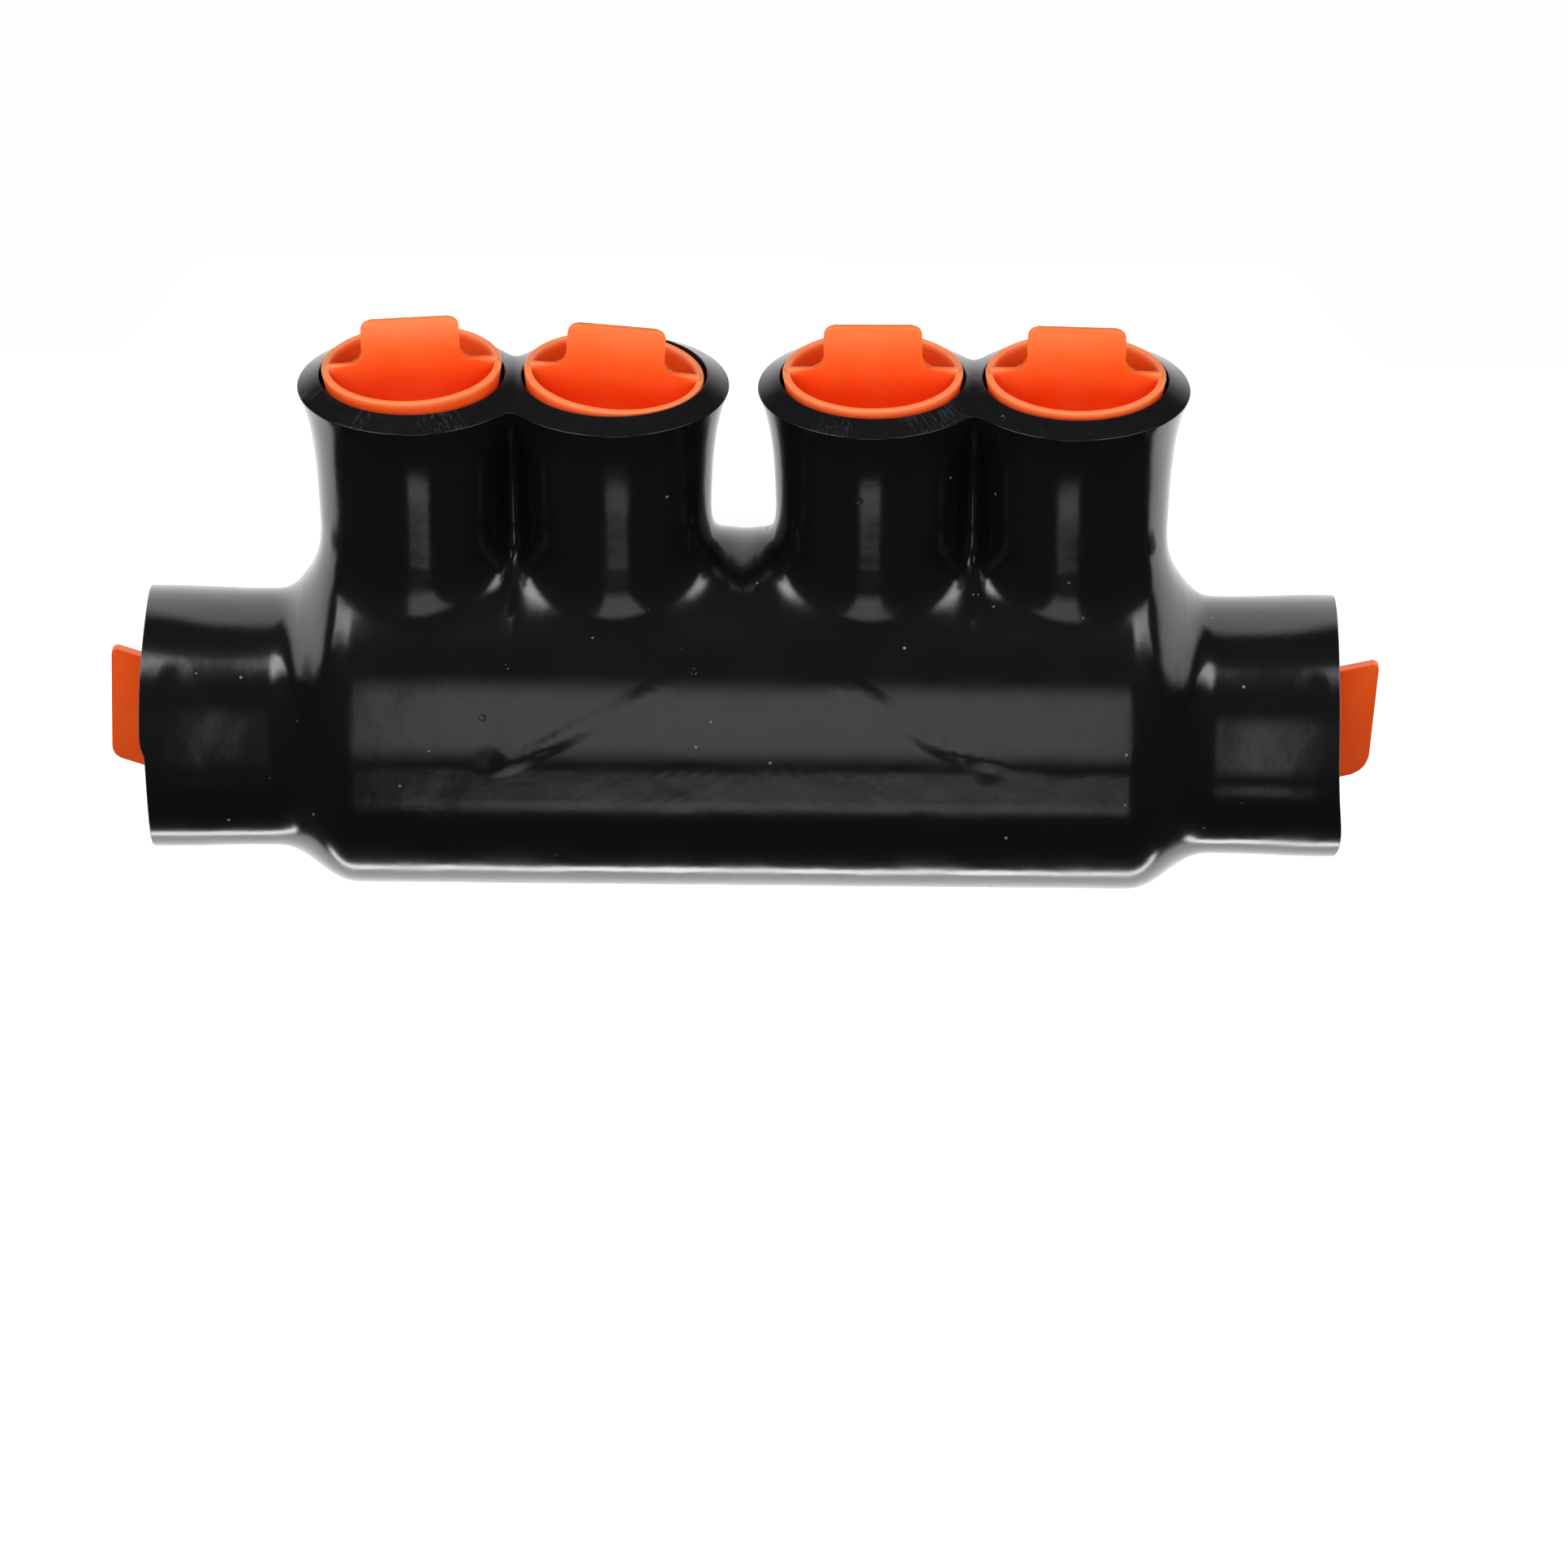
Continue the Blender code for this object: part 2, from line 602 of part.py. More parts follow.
def make_push_cap(name, cap, place, turn, frame, finish):
    """Make one cap or plug at its place, with its ring's top at its origin."""
    item = add_mesh(name, revolve(cup_profile(cap)), frame, finish)
    web = add_mesh(f"{name}_web", web_form(cap), frame)
    for piece in (item, web):
        piece.location = place
        piece.rotation_euler = turn.to_euler()
    add_boolean(item, web, "UNION")
    return item


def make_caps(frame, finish):
    """Make the four screw caps, each at its own tilt in its chimney's mouth."""
    for number, x in enumerate(CHIMNEYS, 1):
        tilt = Matrix.Rotation(CAP_TILTS[number - 1], 3, "Y")
        turn = tilt @ Matrix.Rotation(CAP_TURNS[number - 1], 3, "Z")
        place = (x, 0, MOUTH_HEIGHT + CAP_STANDS[number - 1])
        make_push_cap(f"screw_cap_{number}", SCREW_CAP, place, turn, frame, finish)


def make_plugs(frame, finish):
    """Make the two port plugs, their webs upright across the tubes and their tabs outwards."""
    sides = (("left", -1, LEFT_PLUG), ("right", 1, RIGHT_PLUG))
    for (name, outward, plug), tilt, recess in zip(sides, PLUG_TILTS, PLUG_RECESSES):
        out, back = Vector((outward, 0, 0)), Vector((0, 1, 0))
        across = back.cross(out)
        turn = Matrix.Rotation(tilt, 3, "Y") @ Matrix((across, back, out)).transposed()
        place = (outward * (PORT_SPAN / 2 - recess), 0, 0)
        make_push_cap(f"port_plug_{name}", plug, place, turn, frame, finish)


def rest_droop():
    """Return how far the chimneys droop when the body and the rims both touch the floor."""
    lever = RIM_HEIGHT - BAR_RISE
    return math.asin(BODY_RADIUS / math.hypot(lever, RIM_RADIUS)) - math.atan2(RIM_RADIUS, lever)


def lay_on_floor(frame):
    """Lay the connector on its back, with the origin under the middle of its box."""
    frame.rotation_euler.x = -math.pi / 2 - rest_droop()
    bpy.context.view_layer.update()
    graph = bpy.context.evaluated_depsgraph_get()
    corners = []
    for item in frame.children:
        if item.hide_render:
            continue
        solid = item.evaluated_get(graph)
        corners += [item.matrix_world @ vert.co for vert in solid.data.vertices]
    low = Vector([min(corner[axis] for corner in corners) for axis in range(3)])
    high = Vector([max(corner[axis] for corner in corners) for axis in range(3)])
    frame.location = (-(low.x + high.x) / 2, -(low.y + high.y) / 2, -low.z)
    bpy.context.view_layer.update()


def main():
    """Build the connector."""
    clear_scene()
    frame = bpy.data.objects.new("rest_frame", None)
    bpy.context.scene.collection.objects.link(frame)

    black = material("black_plastisol", (0.012, 0.012, 0.013), 0.16, 0.0)
    orange = material("orange_polyethylene", (0.90, 0.13, 0.02), 0.38, 0.0)
    aluminium = material("tin_plated_aluminium", (0.78, 0.79, 0.80), 0.35, 1.0)
    screw_metal = material("screw_aluminium", (0.62, 0.63, 0.64), 0.30, 1.0)

    make_cover(frame, black)
    make_connector_body(frame, aluminium)
    for number, x in enumerate(CHIMNEYS, 1):
        make_set_screw(number, x, frame, screw_metal)
    make_caps(frame, orange)
    make_plugs(frame, orange)
    lay_on_floor(frame)


main()
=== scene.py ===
"""Visual model of an insulated in-line wire connector, for rendering.

A dip-moulded black jacket covers an aluminium bar that clamps a wire in each end. The
jacket has a tube over each wire bore and four chimneys over the set screws, closed by
orange push-in caps and plugs.

Forms are made upright about the wire axis, in metres: X along the wires, +Z up the
chimneys, -Y the front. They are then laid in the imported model's place, on their back.
"""

import logging
import math
from dataclasses import dataclass, field, replace
from enum import IntEnum
from typing import Optional, Sequence, Union

import bmesh
import bpy
import numpy as np
from mathutils import Matrix, Vector


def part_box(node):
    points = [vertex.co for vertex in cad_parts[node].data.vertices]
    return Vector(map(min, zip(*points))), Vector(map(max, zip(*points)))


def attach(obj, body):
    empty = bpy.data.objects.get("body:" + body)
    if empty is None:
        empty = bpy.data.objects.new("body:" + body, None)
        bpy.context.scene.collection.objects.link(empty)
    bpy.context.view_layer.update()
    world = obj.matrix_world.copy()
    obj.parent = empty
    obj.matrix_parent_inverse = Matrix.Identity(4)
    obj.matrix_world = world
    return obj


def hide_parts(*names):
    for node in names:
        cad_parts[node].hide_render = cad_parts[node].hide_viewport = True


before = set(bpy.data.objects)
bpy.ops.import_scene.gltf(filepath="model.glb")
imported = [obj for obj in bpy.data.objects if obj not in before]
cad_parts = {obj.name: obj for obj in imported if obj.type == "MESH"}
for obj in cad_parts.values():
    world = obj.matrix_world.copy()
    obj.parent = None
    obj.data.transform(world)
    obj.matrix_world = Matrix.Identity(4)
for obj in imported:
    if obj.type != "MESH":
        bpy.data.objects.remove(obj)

logging.basicConfig(level=logging.INFO, format="%(name)s: %(message)s")
log = logging.getLogger("connector")

Number = Union[int, float]
Points = np.ndarray


# ---------------------------------------------------------------- sizes


@dataclass(frozen=True)
class Sizes:
    """The connector's sizes in metres: the solids' own, but for the chimneys' flare and blend."""

    fit: float = 0.0003
    wire_radius: float = 0.0111
    bar_wall: float = 0.0085
    bar_rise: float = 0.0041
    land_cut: float = 0.0011
    bar_end: float = 0.0101
    screw_radius: float = 0.00935
    screw_length: float = 0.022
    screw_clear: float = 0.0011
    hex_across: float = 0.0095
    hex_depth: float = 0.010
    skin: float = 0.0021
    tube_reach: float = 0.0257
    tube_room: float = 0.0037
    tube_wall: float = 0.0027
    tube_waist: float = 0.0003
    waist_length: float = 0.016
    shoulder_length: float = 0.0120
    shoulder_reach: float = 0.0091
    bore_room: float = 0.00085
    neck_wall: float = 0.0023
    neck_length: float = 0.0204
    neck_taper: float = 0.0007
    lip_width: float = 0.00305
    lip_rise: float = 0.0016
    pair_lap: float = 0.00195
    pair_gap: float = 0.0033
    pair_blend: float = 0.0035
    web_half: float = 0.0022
    web_blend: float = 0.0015
    base_blend: float = 0.0044
    side_blend: float = 0.0042
    cap_step: float = 0.0015
    cap_depth: float = 0.0090
    key_room: float = 0.0078
    recess_draft: float = 0.0006
    recess_step: float = 0.0012
    cap_stands: tuple = (0.0013, 0.0004, 0.0008, 0.0007)
    cap_tilts: tuple = (-1.6, 4.2, -0.2, 0.6)
    cap_turns: tuple = (4.5, -1.5, 0.3, -1.5)
    plug_recesses: tuple = (0.0022, 0.0029)
    plug_tilts: tuple = (2.0, 3.5)

    @property
    def bar_land(self) -> float:
        """Height of the bar's flat land under the screws."""
        return self.wire_radius + self.bar_wall + self.bar_rise - self.land_cut

    @property
    def body_radius(self) -> float:
        """Outside radius of the jacket's round body."""
        return self.wire_radius + self.bar_wall + self.fit + self.skin

    @property
    def tube_bore(self) -> float:
        """Inside radius of the tubes."""
        return self.wire_radius + self.tube_room

    @property
    def tube_radius(self) -> float:
        """Outside radius of the tubes."""
        return self.tube_bore + self.tube_wall

    @property
    def chimney_bore(self) -> float:
        """Inside radius of a chimney round its screw."""
        return self.screw_radius + self.bore_room

    @property
    def neck_radius(self) -> float:
        """Outside radius of a chimney's neck."""
        return self.chimney_bore + self.neck_wall

    @property
    def cap_radius(self) -> float:
        """Outside radius of a screw cap's ring."""
        return self.chimney_bore + self.cap_step

    @property
    def mouth_radius(self) -> float:
        """Radius of a chimney's mouth."""
        return self.cap_radius + self.fit

    @property
    def rim_radius(self) -> float:
        """Radius of a chimney's rim."""
        return self.mouth_radius + self.lip_width

    @property
    def screw_spacing(self) -> float:
        """Distance between the two screws of a pair."""
        return 2 * (self.rim_radius - self.pair_lap)

    @property
    def pair_offset(self) -> float:
        """X of the middle of the right-hand pair."""
        return self.screw_spacing / 2 + self.rim_radius + self.pair_gap / 2

    @property
    def chimneys(self) -> tuple:
        """X of the four chimneys, from left to right."""
        near = self.pair_offset - self.screw_spacing / 2
        far = self.pair_offset + self.screw_spacing / 2
        return (-far, -near, near, far)

    @property
    def bar_length(self) -> float:
        """Length of the aluminium bar."""
        return 2 * (self.chimneys[-1] + self.bar_end)

    @property
    def port_span(self) -> float:
        """Distance between the tubes' cut ends."""
        return self.bar_length + 2 * self.tube_reach

    @property
    def screw_middle(self) -> float:
        """Height of a set screw's middle above the wire axis."""
        return self.wire_radius + self.screw_clear + self.screw_length / 2

    @property
    def mouth_height(self) -> float:
        """Height of a chimney's mouth above the wire axis."""
        return self.screw_middle + self.screw_length / 2 + self.key_room + self.cap_depth

    @property
    def rim_height(self) -> float:
        """Height of a chimney's rim above the wire axis."""
        return self.mouth_height - self.lip_rise

    @property
    def shoulder_end(self) -> float:
        """Where the shoulder meets the tube."""
        return self.bar_length / 2 + self.shoulder_reach

    @property
    def rest_droop(self) -> float:
        """How far the chimneys droop as the connector lies on its back."""
        lever = self.rim_height - self.bar_rise
        reach = math.hypot(lever, self.rim_radius)
        return math.asin(self.body_radius / reach) - math.atan2(self.rim_radius, lever)


SIZES = Sizes()


def rest_matrix(sizes: Sizes) -> Matrix:
    """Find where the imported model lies, from its turned set screws.

    Args:
        sizes: The connector's sizes.

    Returns:
        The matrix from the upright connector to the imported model.
    """
    turn = Matrix.Rotation(-math.pi / 2 - sizes.rest_droop, 4, "X")
    middle = Vector((sizes.chimneys[0], 0, sizes.screw_middle))
    low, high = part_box("set_screw_1")
    place = (Vector(low) + Vector(high)) / 2 - turn @ middle
    return Matrix.Translation(place) @ turn


REST = rest_matrix(SIZES)


# ---------------------------------------------------------------- node expressions


class Term:
    """An output of a node, which makes more nodes by Python's operators."""

    def __init__(self, graph: "Graph", socket: bpy.types.NodeSocket) -> None:
        self.graph = graph
        self.socket = socket

    def _join(self, operation: str, *others: Union["Term", Number]) -> "Term":
        """Return the node of a maths operation on this term and others."""
        terms = (self, *others)
        vector = any(isinstance(t, Term) and t.socket.type == "VECTOR" for t in terms)
        kind = "ShaderNodeVectorMath" if vector else "ShaderNodeMath"
        inputs = {}
        for index, term in enumerate(terms):
            flat = vector and not isinstance(term, Term) and not isinstance(term, (tuple, Vector))
            inputs[index] = (term, term, term) if flat else term
        return self.graph.node(kind, inputs, operation=operation)

    def __add__(self, other: Union["Term", Number]) -> "Term":
        return self._join("ADD", other)

    __radd__ = __add__

    def __sub__(self, other: Union["Term", Number]) -> "Term":
        return self._join("SUBTRACT", other)

    def __rsub__(self, other: Number) -> "Term":
        return self * -1.0 + other

    def __mul__(self, other: Union["Term", Number]) -> "Term":
        return self._join("MULTIPLY", other)

    __rmul__ = __mul__

    def __truediv__(self, other: Union["Term", Number]) -> "Term":
        return self._join("DIVIDE", other)

    def __pow__(self, other: Number) -> "Term":
        return self._join("POWER", other)

    def call(self, operation: str, *others: Union["Term", Number]) -> "Term":
        """Return any other maths operation, such as "SINE" or "MAXIMUM"."""
        return self._join(operation, *others)

    def rise(self, low: float, high: float, bottom: float = 0.0, top: float = 1.0) -> "Term":
        """Return a smooth step from bottom to top as this goes from low to high."""
        inputs = {"Value": self, "From Min": low, "From Max": high, "To Min": bottom, "To Max": top}
        return self.graph.node("ShaderNodeMapRange", inputs, interpolation_type="SMOOTHSTEP")

    def band(self, middle: float, half: float, soft: float) -> "Term":
        """Return 1 within half of the middle value, fading to 0 over soft."""
        return (self - middle).call("ABSOLUTE").rise(half, half + soft, 1.0, 0.0)

    def parts(self) -> tuple:
        """Return this vector's three parts."""
        split = self.graph.node("ShaderNodeSeparateXYZ", {"Vector": self})
        outputs = split.socket.node.outputs
        return tuple(Term(self.graph, outputs[axis]) for axis in "XYZ")


class Graph:
    """A node tree that is built up from expressions."""

    def __init__(self, tree: bpy.types.NodeTree) -> None:
        self.tree = tree

    def node(
        self, kind: str, inputs: Optional[dict] = None, output: Union[str, int] = 0, **settings
    ) -> Term:
        """Add any node.

        Args:
            kind: The node's type name.
            inputs: Values or terms by socket identifier, name or index.
            output: Which output to return.
            **settings: The node's own settings.

        Returns:
            The chosen output.
        """
        made = self.tree.nodes.new(kind)
        for key, value in settings.items():
            setattr(made, key, value)
        for key, value in (inputs or {}).items():
            socket = self._find(made.inputs, key)
            if isinstance(value, Term):
                self.tree.links.new(value.socket, socket)
            else:
                socket.default_value = value
        return Term(self, self._find(made.outputs, output) if made.outputs else None)

    @staticmethod
    def _find(sockets: Sequence, key: Union[str, int]) -> bpy.types.NodeSocket:
        """Return a socket by index, identifier or name."""
        if isinstance(key, int):
            return sockets[key]
        for socket in sockets:
            if socket.identifier == key:
                return socket
        return next(s for s in sockets if s.name == key and s.enabled)

    def blend(self, factor: Union[Term, Number], low: object, high: object) -> Term:
        """Mix two colours."""
        inputs = {"Factor_Float": factor, "A_Color": low, "B_Color": high}
        return self.node("ShaderNodeMix", inputs, "Result_Color", data_type="RGBA")

    def vector(self, x: object = 0.0, y: object = 0.0, z: object = 0.0) -> Term:
        """Join three values."""
        return self.node("ShaderNodeCombineXYZ", {"X": x, "Y": y, "Z": z})

    def noise(self, place: Term, scale: float, detail: float = 2.0, rough: float = 0.5) -> Term:
        """Return noise from about 0 to 1."""
        inputs = {"Vector": place, "Scale": scale, "Detail": detail, "Roughness": rough}
        return self.node("ShaderNodeTexNoise", inputs, "Fac")

    def spots(self, place: Term, scale: float, radius: float, share: float) -> Term:
        """Return round spots, in a share of the cells of a random net."""
        found = self.node("ShaderNodeTexVoronoi", {"Vector": place, "Scale": scale}, "Distance")
        pick = Term(self, found.socket.node.outputs["Color"]).parts()[0]
        return found.rise(radius * 0.6, radius, 1.0, 0.0) * pick.rise(1 - share, 1 - share * 0.9)

    def attribute(self, name: str, output: str = "Vector") -> Term:
        """Read one of the piece's own attributes."""
        return self.node("ShaderNodeAttribute", {}, output, attribute_name=name)

    def upright(self) -> Term:
        """Return the place in the upright connector, from object coordinates."""
        place = self.node("ShaderNodeTexCoord", {}, "Object")
        back = REST.inverted()
        inputs = {"Vector": place, "Location": back.translation, "Rotation": back.to_euler()}
        return self.node("ShaderNodeMapping", inputs, vector_type="POINT")

    def bump(self, height: Term) -> Term:
        """Turn a height in metres into a normal."""
        inputs = {"Height": height, "Distance": 1.0, "Strength": 1.0}
        return self.node("ShaderNodeBump", inputs, "Normal")


class Finish:
    """A finish, which makes its material once."""

    name: str

    def shade(self, graph: Graph) -> dict:
        """Return the Principled shader's inputs."""
        raise NotImplementedError

    def material(self) -> bpy.types.Material:
        """Return this finish's material, made the first time it is asked for."""
        found = bpy.data.materials.get(self.name)
        if found:
            return found
        made = bpy.data.materials.new(self.name)
        made.use_nodes = True
        graph = Graph(made.node_tree)
        made.node_tree.nodes.clear()
        shader = graph.node("ShaderNodeBsdfPrincipled", self.shade(graph))
        graph.node("ShaderNodeOutputMaterial", {"Surface": shader})
        log.info("material %s", self.name)
        return made


def rgba(red: float, green: float, blue: float) -> tuple:
    """Return an opaque colour."""
    return (red, green, blue, 1.0)


@dataclass(frozen=True)
class Plastisol(Finish):
    """Glossy dip-moulded black skin with soft waves, dust and pits."""

    name: str = "plastisol_skin"
    colour: tuple = rgba(0.0045, 0.0045, 0.005)
    dust: tuple = rgba(0.20, 0.20, 0.21)
    gloss: float = 0.13
    dents: tuple = ((-0.0329, 0.0058), (0.0323, 0.0050), (-0.0738, 0.0120), (0.0742, 0.0120))
    dent_radius: float = 0.0026
    dent_depth: float = 0.00007
    flow_top: float = 0.0153
    flow_fall: float = 0.0098

    def dent(self, across: Term, up: Term) -> Term:
        """Return the depth of a shallow round dent at a place."""
        reach = (across * across + up * up) ** 0.5
        return reach.rise(0.0, self.dent_radius, self.dent_depth, 0.0)

    def flow(self, graph: Graph, place: Term) -> Term:
        """Return the height of the flow crease that hangs from the body's top on the front."""
        along, depth, height = place.parts()
        out = (along - 0.0015).call("ABSOLUTE")
        front = depth.rise(-0.006, -0.012) * out.rise(0.009, 0.015)
        front *= out.rise(0.030, 0.036, 1.0, 0.0)
        sway = (along * 330.0).call("SINE") * 0.0004
        line = height - self.flow_top + out.rise(0.009, 0.034) * self.flow_fall + sway
        bead = line.band(0.0, 0.0, 0.0021) * 0.00012
        lumps = graph.noise(place, 210.0, 2.0).rise(0.3, 0.7, 0.5, 1.2)
        return (line.rise(-0.0022, 0.0022) * 0.00005 + bead * lumps) * front

    def shade(self, graph: Graph) -> dict:
        """Return the skin's shader inputs."""
        place = graph.upright()
        along, _, height = place.parts()
        wave = graph.noise(place, 38.0, 1.5) * 0.00022 + graph.noise(place, 120.0, 1.5) * 0.00008
        peel = graph.noise(place, 330.0, 2.5, 0.55) * 0.000022
        dents = sum(self.dent(along - x, height - z) for x, z in self.dents)
        pits = graph.spots(place, 330.0, 0.16, 0.05)
        dust = graph.spots(place, 520.0, 0.13, 0.035)
        inputs = {"Vector": place, "Rotation": (0.3, 0.5, 0.4), "Scale": (60, 900, 300)}
        streak = graph.node("ShaderNodeMapping", inputs)
        scratch = graph.noise(streak, 1.0, 3.0, 0.65).rise(0.70, 0.78)
        relief = wave + peel + self.flow(graph, place) - dents
        normal = graph.bump(relief - pits * 0.00004 + dust * 0.00005)
        cloud = graph.noise(place, 90.0, 4.0, 0.6).rise(0.35, 0.75)
        rough = cloud * 0.07 + scratch * 0.10 + dust * 0.4 + self.gloss
        return {
            "Base Color": graph.blend(dust * 0.8, self.colour, self.dust),
            "Roughness": rough,
            "IOR": 1.50,
            "Normal": normal,
        }


@dataclass(frozen=True)
class PlastisolCut(Finish):
    """The trimmed edge of the skin: duller, greyer, with short nicks across it."""

    name: str = "plastisol_cut"
    colour: tuple = rgba(0.005, 0.005, 0.0055)
    worn: tuple = rgba(0.022, 0.0225, 0.024)

    def shade(self, graph: Graph) -> dict:
        """Return the cut edge's shader inputs."""
        place = graph.upright()
        turn, out, _ = graph.attribute("around").parts()
        ray = graph.vector(turn * 80.0, out * 420.0)
        nick = graph.noise(ray, 1.0, 2.0, 0.6).rise(0.56, 0.64)
        patch = graph.noise(place, 85.0, 2.0).rise(0.50, 0.66)
        marks = nick * patch
        grain = graph.noise(place, 900.0, 3.0, 0.6)
        pits = graph.spots(place, 420.0, 0.22, 0.06)
        height = grain * 0.000012 - marks * 0.00004 - pits * 0.00007
        tone = grain * 0.5 + marks * 0.6
        return {
            "Base Color": graph.blend(tone.rise(0.2, 1.0), self.colour, self.worn),
            "Roughness": grain.rise(0.3, 0.7, 0.13, 0.20) + marks * 0.12,
            "IOR": 1.50,
            "Normal": graph.bump(height),
        }


@dataclass(frozen=True)
class Polyethylene(Finish):
    """Orange, slightly translucent push-in plastic; painted shade low down, painted glow up the
    tab.
    """

    name: str = "orange_polyethylene"
    # lift: how far the colour climbs from the deep tone, which is painted shade, to the body tone
    lift: float = 1.0
    # fade: strength of the painted glow of light through the tab, towards its top
    fade: float = 0.3
    # deep: the painted-shade tone, deep in the cup, on the ring and low on the tab
    deep: tuple = rgba(0.83, 0.062, 0.004)
    body: tuple = rgba(0.95, 0.145, 0.018)
    pale: tuple = rgba(1.0, 0.30, 0.12)

    def shade(self, graph: Graph) -> dict:
        """Return the plastic's shader inputs."""
        _, _, height = graph.attribute("local").parts()
        edge = graph.attribute("edge", "Fac") * height.rise(-0.0010, -0.0002)
        place = graph.upright()
        cloud = graph.noise(place, 160.0, 3.0, 0.6)
        # painted shade: darker towards the bottom, deep in the cup, on the ring and low on the tab
        lift = height.rise(-0.0045, 0.0055, 0.0, self.lift)
        colour = graph.blend(lift, self.deep, self.body)
        # painted glow of light through the tab, paler towards its top; and the ring's paler top
        # edge
        glow_and_pale_edge = height.rise(0.0015, 0.0068) * self.fade + edge * 0.6
        colour = graph.blend(glow_and_pale_edge, colour, self.pale)
        colour = graph.blend(cloud.rise(0.4, 0.7) * 0.08, colour, self.pale)
        nicks = graph.spots(place, 620.0, 0.2, 0.05) * edge
        grain = graph.noise(place, 900.0, 2.0) * 0.000006
        return {
            "Base Color": colour,
            "Roughness": cloud.rise(0.3, 0.7, 0.36, 0.46),
            "IOR": 1.50,
            "Subsurface Weight": 0.6,
            "Subsurface Radius": (1.0, 0.28, 0.08),
            "Subsurface Scale": 0.0026,
            "Specular IOR Level": 0.4,
            "Normal": graph.bump(cloud * 0.00003 + grain - nicks * 0.00008),
        }


@dataclass(frozen=True)
class Extrusion(Finish):
    """Tin-plated extruded aluminium with fine lines along it."""

    name: str = "tinned_aluminium"

    def shade(self, graph: Graph) -> dict:
        """Return the bar's shader inputs."""
        place = graph.upright()
        drawn = graph.node("ShaderNodeMapping", {"Vector": place, "Scale": (12.0, 1400.0, 1400.0)})
        lines = graph.noise(drawn, 1.0, 3.0, 0.6)
        cloud = graph.noise(place, 120.0, 3.0)
        return {
            "Base Color": graph.blend(cloud, rgba(0.62, 0.63, 0.65), rgba(0.76, 0.77, 0.78)),
            "Metallic": 1.0,
            "Roughness": lines.rise(0.3, 0.7, 0.26, 0.40),
            "Normal": graph.bump(lines * 0.000008),
        }


@dataclass(frozen=True)
class Turned(Finish):
    """Machined aluminium with fine rings round its axis."""

    name: str = "turned_aluminium"

    def shade(self, graph: Graph) -> dict:
        """Return the screw's shader inputs."""
        across, depth, height = graph.attribute("local").parts()
        out = (across * across + depth * depth) ** 0.5
        rings = graph.noise(graph.vector(out * 2400.0, height * 2400.0, 0.0), 1.0, 2.0)
        return {
            "Base Color": graph.blend(rings, rgba(0.55, 0.56, 0.58), rgba(0.70, 0.71, 0.73)),
            "Metallic": 1.0,
            "Roughness": rings.rise(0.3, 0.7, 0.24, 0.38),
            "Normal": graph.bump(rings * 0.000006),
        }


@dataclass(frozen=True)
class Paper(Finish):
    """The plain white floor; mirrored in the skin it ends a little past the view."""

    name: str = "white_floor"
    colour: tuple = rgba(0.90, 0.90, 0.90)
    edge: tuple = rgba(0.05, 0.05, 0.05)
    near_glow: float = 0.94
    patch: tuple = (0.0, -0.153, 0.17, 0.177)     # the part that shines: middle and half sizes
    corners: tuple = (0.068, 0.085)               # where its near edge bends back, across
    bend: float = 0.016

    def shade(self, graph: Graph) -> dict:
        """Return the floor's shader inputs."""
        place = graph.node("ShaderNodeTexCoord", {}, "Object")
        x, y, _ = place.parts()
        out = (x * x + y * y) ** 0.5
        glow = out.rise(0.12, 0.5, self.near_glow, 1.0)
        middle_x, middle_y, half_x, half_y = self.patch
        near_edge = y + x.call("ABSOLUTE").rise(*self.corners) * self.bend
        patch = x.band(middle_x, half_x, 0.05) * near_edge.band(middle_y, half_y, 0.018)
        camera = graph.node("ShaderNodeLightPath", {}, "Is Camera Ray")
        ports = camera.socket.node.outputs
        passed = Term(graph, ports["Is Transmission Ray"])
        mirrored = Term(graph, ports["Is Glossy Ray"]).call("MAXIMUM", passed)
        shown = camera.call("MAXIMUM", mirrored * patch) * glow
        return {
            "Base Color": graph.blend(patch, self.edge, self.colour),
            "Roughness": 0.9,
            "Specular IOR Level": 0.0,
            "Emission Color": graph.blend(shown, rgba(0.0, 0.0, 0.0), rgba(1.0, 1.0, 1.0)),
            "Emission Strength": 1.0,
        }


# ---------------------------------------------------------------- pieces


def linked(name: str, data: bpy.types.ID) -> bpy.types.Object:
    """Return a new object that is in the scene."""
    made = bpy.data.objects.new(name, data)
    bpy.context.scene.collection.objects.link(made)
    return made


def places(verts: Sequence) -> Points:
    """Return the coordinates of a mesh's or bmesh's points."""
    return np.array([vert.co[:] for vert in verts])


def store(mesh: bpy.types.Mesh, name: str, values: Points) -> None:
    """Keep a number or a vector for each point of a mesh."""
    kind, key = ("FLOAT", "value") if values.ndim == 1 else ("FLOAT_VECTOR", "vector")
    made = mesh.attributes.new(name, kind, "POINT")
    made.data.foreach_set(key, values.astype(np.float32).ravel())


class Piece:
    """A sub-assembly of the visual model."""

    def build(self) -> list:
        """Make this sub-assembly's objects."""
        raise NotImplementedError

    @staticmethod
    def add(name: str, mesh: bpy.types.Mesh, body: str, slot: str, *nodes: str) -> bpy.types.Object:
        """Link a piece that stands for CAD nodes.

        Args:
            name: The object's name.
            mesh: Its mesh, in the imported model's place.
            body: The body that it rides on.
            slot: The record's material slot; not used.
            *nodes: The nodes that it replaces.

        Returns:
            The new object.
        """
        item = linked(name, mesh)
        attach(item, body)
        if nodes:
            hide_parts(*nodes)
        log.info("piece %s: %d faces", name, len(mesh.polygons))
        return item


def ease(value: Points) -> Points:
    """Return a smooth step from 0 to 1 with level ends."""
    t = np.clip(value, 0.0, 1.0)
    return t * t * t * (t * (6 * t - 15) + 10)


